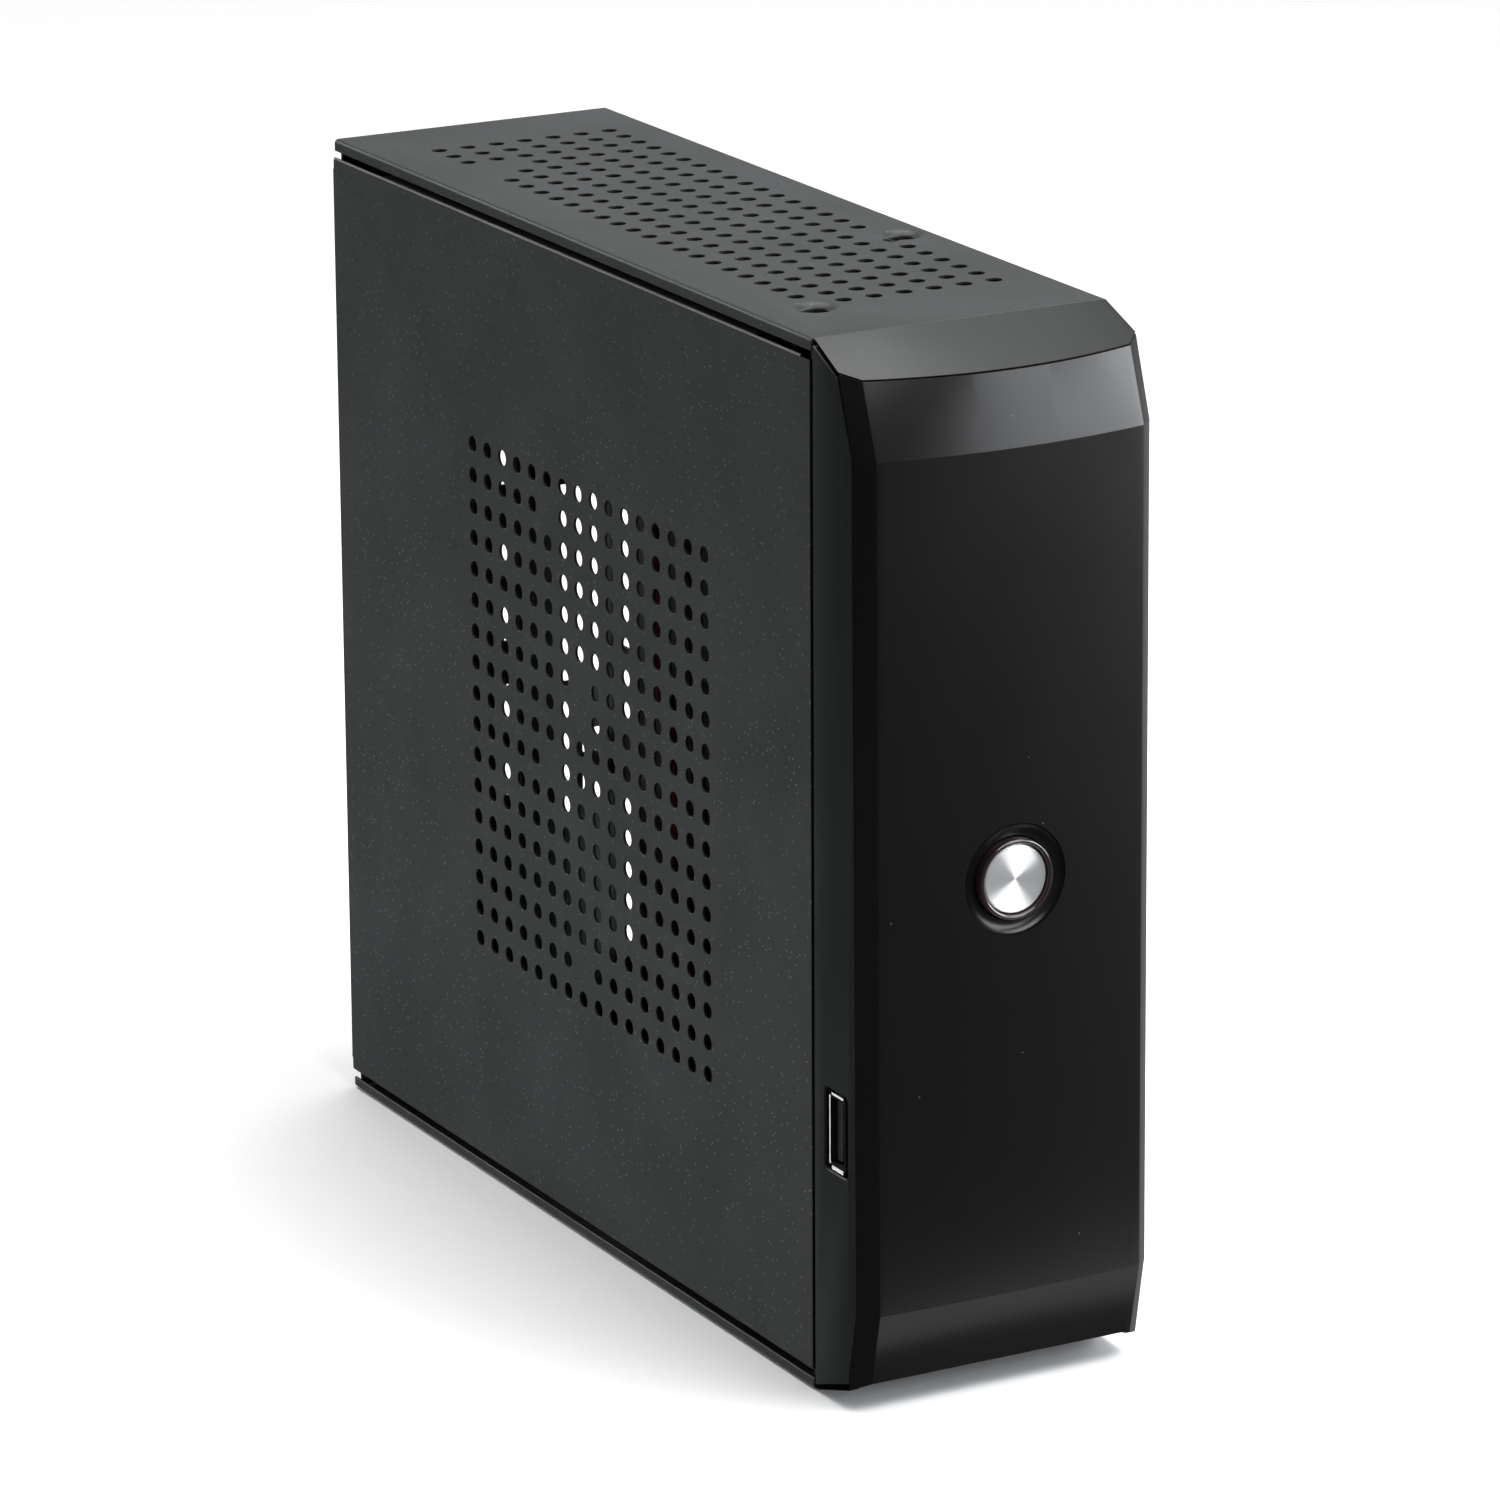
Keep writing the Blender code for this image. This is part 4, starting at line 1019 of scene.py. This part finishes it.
def make_passives():
    """Rows of tiny resistors and capacitors, each a dark body with two plated ends."""
    spots = [(63.2, 131 + 2.1 * k) for k in range(20)]
    spots += [(26 + 2.3 * k, 178.5 + (k % 3)) for k in range(12)]
    spots += [(46 + 2.2 * k, 130.5 + (k % 2) * 2.4) for k in range(7)]
    spots += [(135 + 2.1 * k, 171.5) for k in range(6)]
    spots += [(56 + (k % 2) * 2.2, 124.5 + 1.6 * k) for k in range(5)]
    spots += [(159.5, 140 + 2.2 * k) for k in range(16)]
    bodies = [on_board(y - 0.45, z - 0.5, y + 0.45, z + 0.5, 0.55) for y, z in spots]
    ends = [on_board(y - 0.5, z + end - 0.18, y + 0.5, z + end + 0.18, 0.6)
            for y, z in spots for end in (-0.65, 0.65)]
    blocks("passives", bodies, "chip", 0.05)
    blocks("passive_ends", ends, "nickel", 0.05)


def make_board_parts():
    """Everything that stands on the board's left face and isn't a CAD node."""
    make_small_parts()
    make_passives()
    bm = bmesh.new()
    slab(bm, rounded(26.5, 136.5, 29.5, 146.5, 1.45, 5), BOARD_FACE, BOARD_FACE - 3.2)
    soften(bm, 0.3)
    add_piece("crystal", bm, "nickel")
    face, pitch, pin = span("front_header")[0][0], 2.54, 0.6
    corners = [(28.2 + pitch * i, 126.4 + pitch * j) for i in range(5) for j in range(3)]
    pins = [((face - 1.6, y, z), (face, y + pin, z + pin)) for y, z in corners]
    blocks("front_header_pins", pins, "brass")
    (x, y0, z0), (_, y1, z1) = span("cpu_package")
    inset = 3
    foot = ((x - 0.32, y0 + inset, z0 + inset), (x, y1 - inset, z1 - inset))
    blocks("heatsink_foot", [foot], "alloy", 0.1)


def make_fan_rotor():
    """Hub with a blank label and seven swept blades."""
    x, y, z = FAN_CENTRE
    hub = [(0, -4.4), (7.6, -4.4), (7.7, -4.3), (9.2, -4.3), (9.7, -4.1), (10.0, -3.6), (10.0, 3.2),
           (9.6, 3.2), (9.6, -1.0), (0, -1.0)]
    lathe("fan_hub_detail", FAN_CENTRE, "x", hub, "black", ["fan_rotor"], "fan_rotor", 64, 40)
    label = [(0, -4.46), (7.1, -4.46), (7.2, -4.42), (7.2, -4.3), (0, -4.3)]
    lathe("fan_label", FAN_CENTRE, "x", label, "label", (), "fan_rotor", 48, 40)
    bm = bmesh.new()
    blades, spans, chords = 7, 9, 7
    root, length = 9.7, 12.6
    for number in range(blades):
        skins = []
        for side in (-1, 1):
            skin = []
            for i in range(spans + 1):
                t = i / spans
                row = []
                for j in range(chords + 1):
                    s = 2 * j / chords - 1
                    radius = root + length * t
                    angle = math.tau * number / blades + s * 0.30 * (1 + 0.10 * t) + 0.22 * t * t
                    thick = 0.40 * (1 - 0.75 * s * s) + 0.05
                    along = -0.6 + s * (2.5 - 0.9 * t) + 0.5 * (s * s - 0.4) + side * thick
                    spot = (x + along, y + radius * math.sin(angle), z + radius * math.cos(angle))
                    row.append(bm.verts.new(at(*spot)))
                skin.append(row)
            skins.append(skin)
        front, back = skins
        for i in range(spans):
            for j in range(chords):
                for skin in skins:
                    bm.faces.new((skin[i][j], skin[i][j + 1], skin[i + 1][j + 1], skin[i + 1][j]))
            for j in (0, chords):
                bm.faces.new((front[i][j], front[i + 1][j], back[i + 1][j], back[i][j]))
        for i in (0, spans):
            for j in range(chords):
                bm.faces.new((front[i][j], front[i][j + 1], back[i][j + 1], back[i][j]))
    add_piece("fan_blades", bm, "black", (), "fan_rotor", 50)


def make_drive():
    """The drive's case: a step round its lid, a blank label and four small lid screws."""
    (x0, y0, z0), (x1, y1, z1) = span("drive")
    bm = bmesh.new()
    step = 0.8
    block(bm, (x0 + step, y0, z0), (x1, y1, z1))
    soften(bm, 0.5, 3)
    block(bm, (x0, y0 + 2.5, z0 + 2.0), (x0 + step + 0.1, y1 - 6.0, z1 - 2.0))
    lid = [e for e in bm.edges if e.is_manifold and e.calc_face_angle(0.0) > 1 and e.calc_length() > 5 * MM
           and all(v.co.x < at(x0 + 0.5, 0, 0).x for v in e.verts)]
    bmesh.ops.bevel(bm, geom=lid, offset=0.3 * MM, segments=2, profile=0.6, affect="EDGES")
    add_piece("drive_detail", bm, "alloy", ["drive"])
    bm = bmesh.new()
    slab(bm, rounded(y0 + 12, z0 + 8, y1 - 22, z1 - 8, 2.0, 5), x0 + 0.02, x0 - 0.06)
    add_piece("drive_label", bm, "label")
    head = [(0, -0.15), (0.7, -0.15), (1.3, -0.05), (1.5, 0.2), (0, 0.2)]
    corners = [(y, z) for y in (y0 + 6, y1 - 10) for z in (z0 + 5, z1 - 5)]
    for number, (y, z) in enumerate(corners, 1):
        lathe(f"lid_screw_{number}", (x0, y, z), "x", head, "nickel", sides=24)


def smooth_route(points, steps):
    """Points along a smooth curve through the route's own points (Catmull-Rom)."""
    route = [points[0], *points, points[-1]]
    path = []
    for a, b, c, d in zip(route, route[1:], route[2:], route[3:]):
        a, b, c, d = Vector(a), Vector(b), Vector(c), Vector(d)
        for step in range(steps):
            t = step / steps
            path.append((2 * b + (c - a) * t + (2 * a - 5 * b + 4 * c - d) * t ** 2
                         + (3 * b - a - 3 * c + d) * t ** 3) / 2)
    path.append(Vector(points[-1]))
    return path


def sleeve(node, points, radius, look="wire", sides=32, strands=4):
    """A round cable swept along a smooth route; strands press shallow grooves along it."""
    path = smooth_route(points, 8)
    bm = bmesh.new()
    across = None
    rings = []
    for k, spot in enumerate(path):
        along = (path[min(k + 1, len(path) - 1)] - path[max(k - 1, 0)]).normalized()
        across = along.orthogonal() if across is None else across - along * across.dot(along)
        across.normalize()
        third = along.cross(across)
        ring = []
        for step in range(sides):
            angle = math.tau * step / sides
            r = radius * (1 - 0.10 * (1 + math.cos(strands * angle)) / 2) if strands else radius
            ring.append(spot + (across * math.cos(angle) + third * math.sin(angle)) * r)
        rings.append(ring)
    tube(bm, rings)
    add_piece(node.replace("cable", "sleeve"), bm, look, [node], sharp=40)


def make_cables():
    """The four cables inside, each along its CAD route."""
    sleeve("front_usb_cable", ((22, -6.9, 64), (25, -7.2, 69), (29, -5, 72.5), (31, -1.4, 73), (32, 2, 73.5),
                               (35, 10, 79), (39, 20, 93), (43, 32, 108), (46, 38, 117), (46.4, 38, 123.5)),
           1.6, sides=24, strands=0)
    sleeve("switch_cable", ((37, -5.4, 86), (38, -5.0, 80), (38.5, -1.4, 77.5), (39.5, 2, 77.5), (43, 7, 84),
                            (46, 14, 98), (47, 24, 112), (47, 29.5, 123.5)), 1.0, sides=24, strands=2)
    sleeve("drive_data_cable", ((53, 134.4, 25), (53, 141, 27), (53, 147, 40), (52, 149, 62), (50, 149.5, 90),
                                (47.4, 150, 123.1)), 1.8, "red")
    sleeve("drive_power_cable", ((53, 134.4, 45), (53, 138, 47), (52.2, 139, 62), (49.5, 135.5, 98),
                                 (47.4, 132.5, 123.1)), 1.5)


# ---------------------------------------------------------------- assembly

make_cover()
make_top()
make_folded("bottom_panel", "bottom_sheet", (1.3, 0.9), False)
make_right()
make_rear()
make_front_plate()
make_strips()
make_front_usb()
make_button()
make_cover_screws()
make_small_screws()
make_rear_ports()
make_board_parts()
make_fan_rotor()
make_drive()
make_cables()

REFINED = {
    "steel": ("coin_cell", "drive_bracket"),
    "black": ("fan_frame", "coin_cell_holder", "sata_socket", "front_header", "drive_plug", "tact_switch"),
    "white": ("drive_power_header", "button_plunger"),
    "chip": ("cpu_package", "memory_chip_1", "memory_chip_2"),
    "alloy": ("heatsink",),
    "board": ("mainboard", "switch_board", "usb_front_board"),
    "powder": ("front_bulkhead",),
    "bezel": ("bezel_back_frame",),
    "brass": tuple(f"board_standoff_{k}" for k in range(1, 5)),
}
for look, names in REFINED.items():
    for node in names:
        refined(node, look)

KEPT = {"switch_nub": "black", "status_led_1": "pipe", "status_led_2": "pipe"}
for node, look in KEPT.items():
    for material_slot in NODES[node].material_slots:
        material_slot.material = LOOK[look].material


# ---------------------------------------------------------------- studio

def make_camera():
    """A long lens from the front left and above."""
    data = bpy.data.cameras.new("camera")
    data.sensor_width = 36.0
    data.lens = 179.18
    data.clip_start, data.clip_end = 0.05, 50.0
    camera = new_object("camera", data)
    right = Vector((0.87698958, -0.48048002, -0.00531206))
    forward = Vector((0.45880993, 0.84061886, -0.28784262))
    camera.matrix_world = Matrix((right, right.cross(forward), -forward)).transposed().to_4x4()
    camera.location = (-0.635568, -1.173618, 0.493553)
    bpy.context.scene.camera = camera


def softbox(name, place, target, size, power, tint=(1, 1, 1)):
    """A rectangular lamp that faces its target and isn't seen itself."""
    data = bpy.data.lights.new(name, "AREA")
    data.shape = "RECTANGLE"
    data.size, data.size_y = size
    data.energy = power
    data.color = tint
    light = new_object(name, data)
    light.location = place
    light.rotation_euler = (Vector(target) - light.location).to_track_quat("-Z", "Y").to_euler()
    light.visible_camera = False
    return light


def make_floor():
    """A pale round floor that fades into the pale surroundings."""
    bm = bmesh.new()
    bmesh.ops.create_circle(bm, cap_ends=True, segments=64, radius=2.4)
    mesh = bpy.data.meshes.new("floor")
    bm.to_mesh(mesh)
    bm.free()
    floor = new_object("floor", mesh)
    floor.location.z = -0.0002
    s = Surface("pale_floor", None, (0.9, 0.9, 0.9), 0.9, Specular_IOR_Level=0.0)
    distance = s.node("VectorMath", {0: s.place}, operation="LENGTH").outputs["Value"]
    s.links.new(s.remap(distance, 0.45, 1.5, 1.0, 0.0), s.shader.inputs["Alpha"])
    mesh.materials.append(s.material)
    floor.visible_glossy = False


COOL = (0.95, 0.97, 1.0)
PALE_SIDE = (0.80, 0.55, -0.10)
DIM_LEVEL, PALE_LEVEL = 0.07, 0.50


def make_world():
    """White behind the object; as light, a dim room that is brighter on its pale side."""
    world = bpy.data.worlds.new("studio")
    bpy.context.scene.world = world
    world.use_nodes = True
    tree = world.node_tree
    place = add_node(tree, "TexCoord").outputs["Generated"]
    toward = {0: place, 1: Vector(PALE_SIDE).normalized()}
    pale = add_node(tree, "VectorMath", toward, operation="DOT_PRODUCT").outputs["Value"]
    ramp = {0: pale, 1: -0.1, 2: 1.0, 3: DIM_LEVEL, 4: PALE_LEVEL}
    level = add_node(tree, "MapRange", ramp, interpolation_type="SMOOTHSTEP").outputs[0]
    room = tree.nodes["Background"]
    room.inputs["Color"].default_value = (*COOL, 1)
    tree.links.new(level, room.inputs["Strength"])
    white = add_node(tree, "Background", {"Color": (1, 1, 1, 1), "Strength": 1.0}).outputs[0]
    seen = add_node(tree, "LightPath").outputs["Is Camera Ray"]
    mix = add_node(tree, "MixShader", {0: seen, 1: room.outputs[0], 2: white})
    tree.links.new(mix.outputs[0], tree.nodes["World Output"].inputs["Surface"])


make_camera()
make_floor()
make_world()
softbox("overhead", (0.1, 0.35, 1.6), (0, 0, 0), (1.4, 1.4), 26)
softbox("front_high", (0.40, -0.85, 1.30), (0, 0, 0.1), (1.5, 0.6), 23)
softbox("right_front", (0.60, -0.88, 0.34), (0, 0, 0.15), (0.6, 0.4), 5.2, COOL)
softbox("right_side", (1.15, -0.50, 0.42), (0, 0, 0.15), (0.6, 0.8), 14, COOL)
softbox("behind_left", (-0.62, 1.15, 0.62), (0, 0, 0.1), (0.5, 0.35), 4)
card = softbox("floor_glow", (0.02, -0.128, 0.001), (0.02, -0.128, 1.0), (0.10, 0.03), 0.010, COOL)
card.visible_diffuse = False
bounce = softbox("left_bounce", (-0.21, 0.02, 0.012), (0, 0, 0.03), (0.36, 0.02), 0.35, COOL)
bounce.visible_glossy = False
bpy.context.scene.view_settings.view_transform = "Standard"
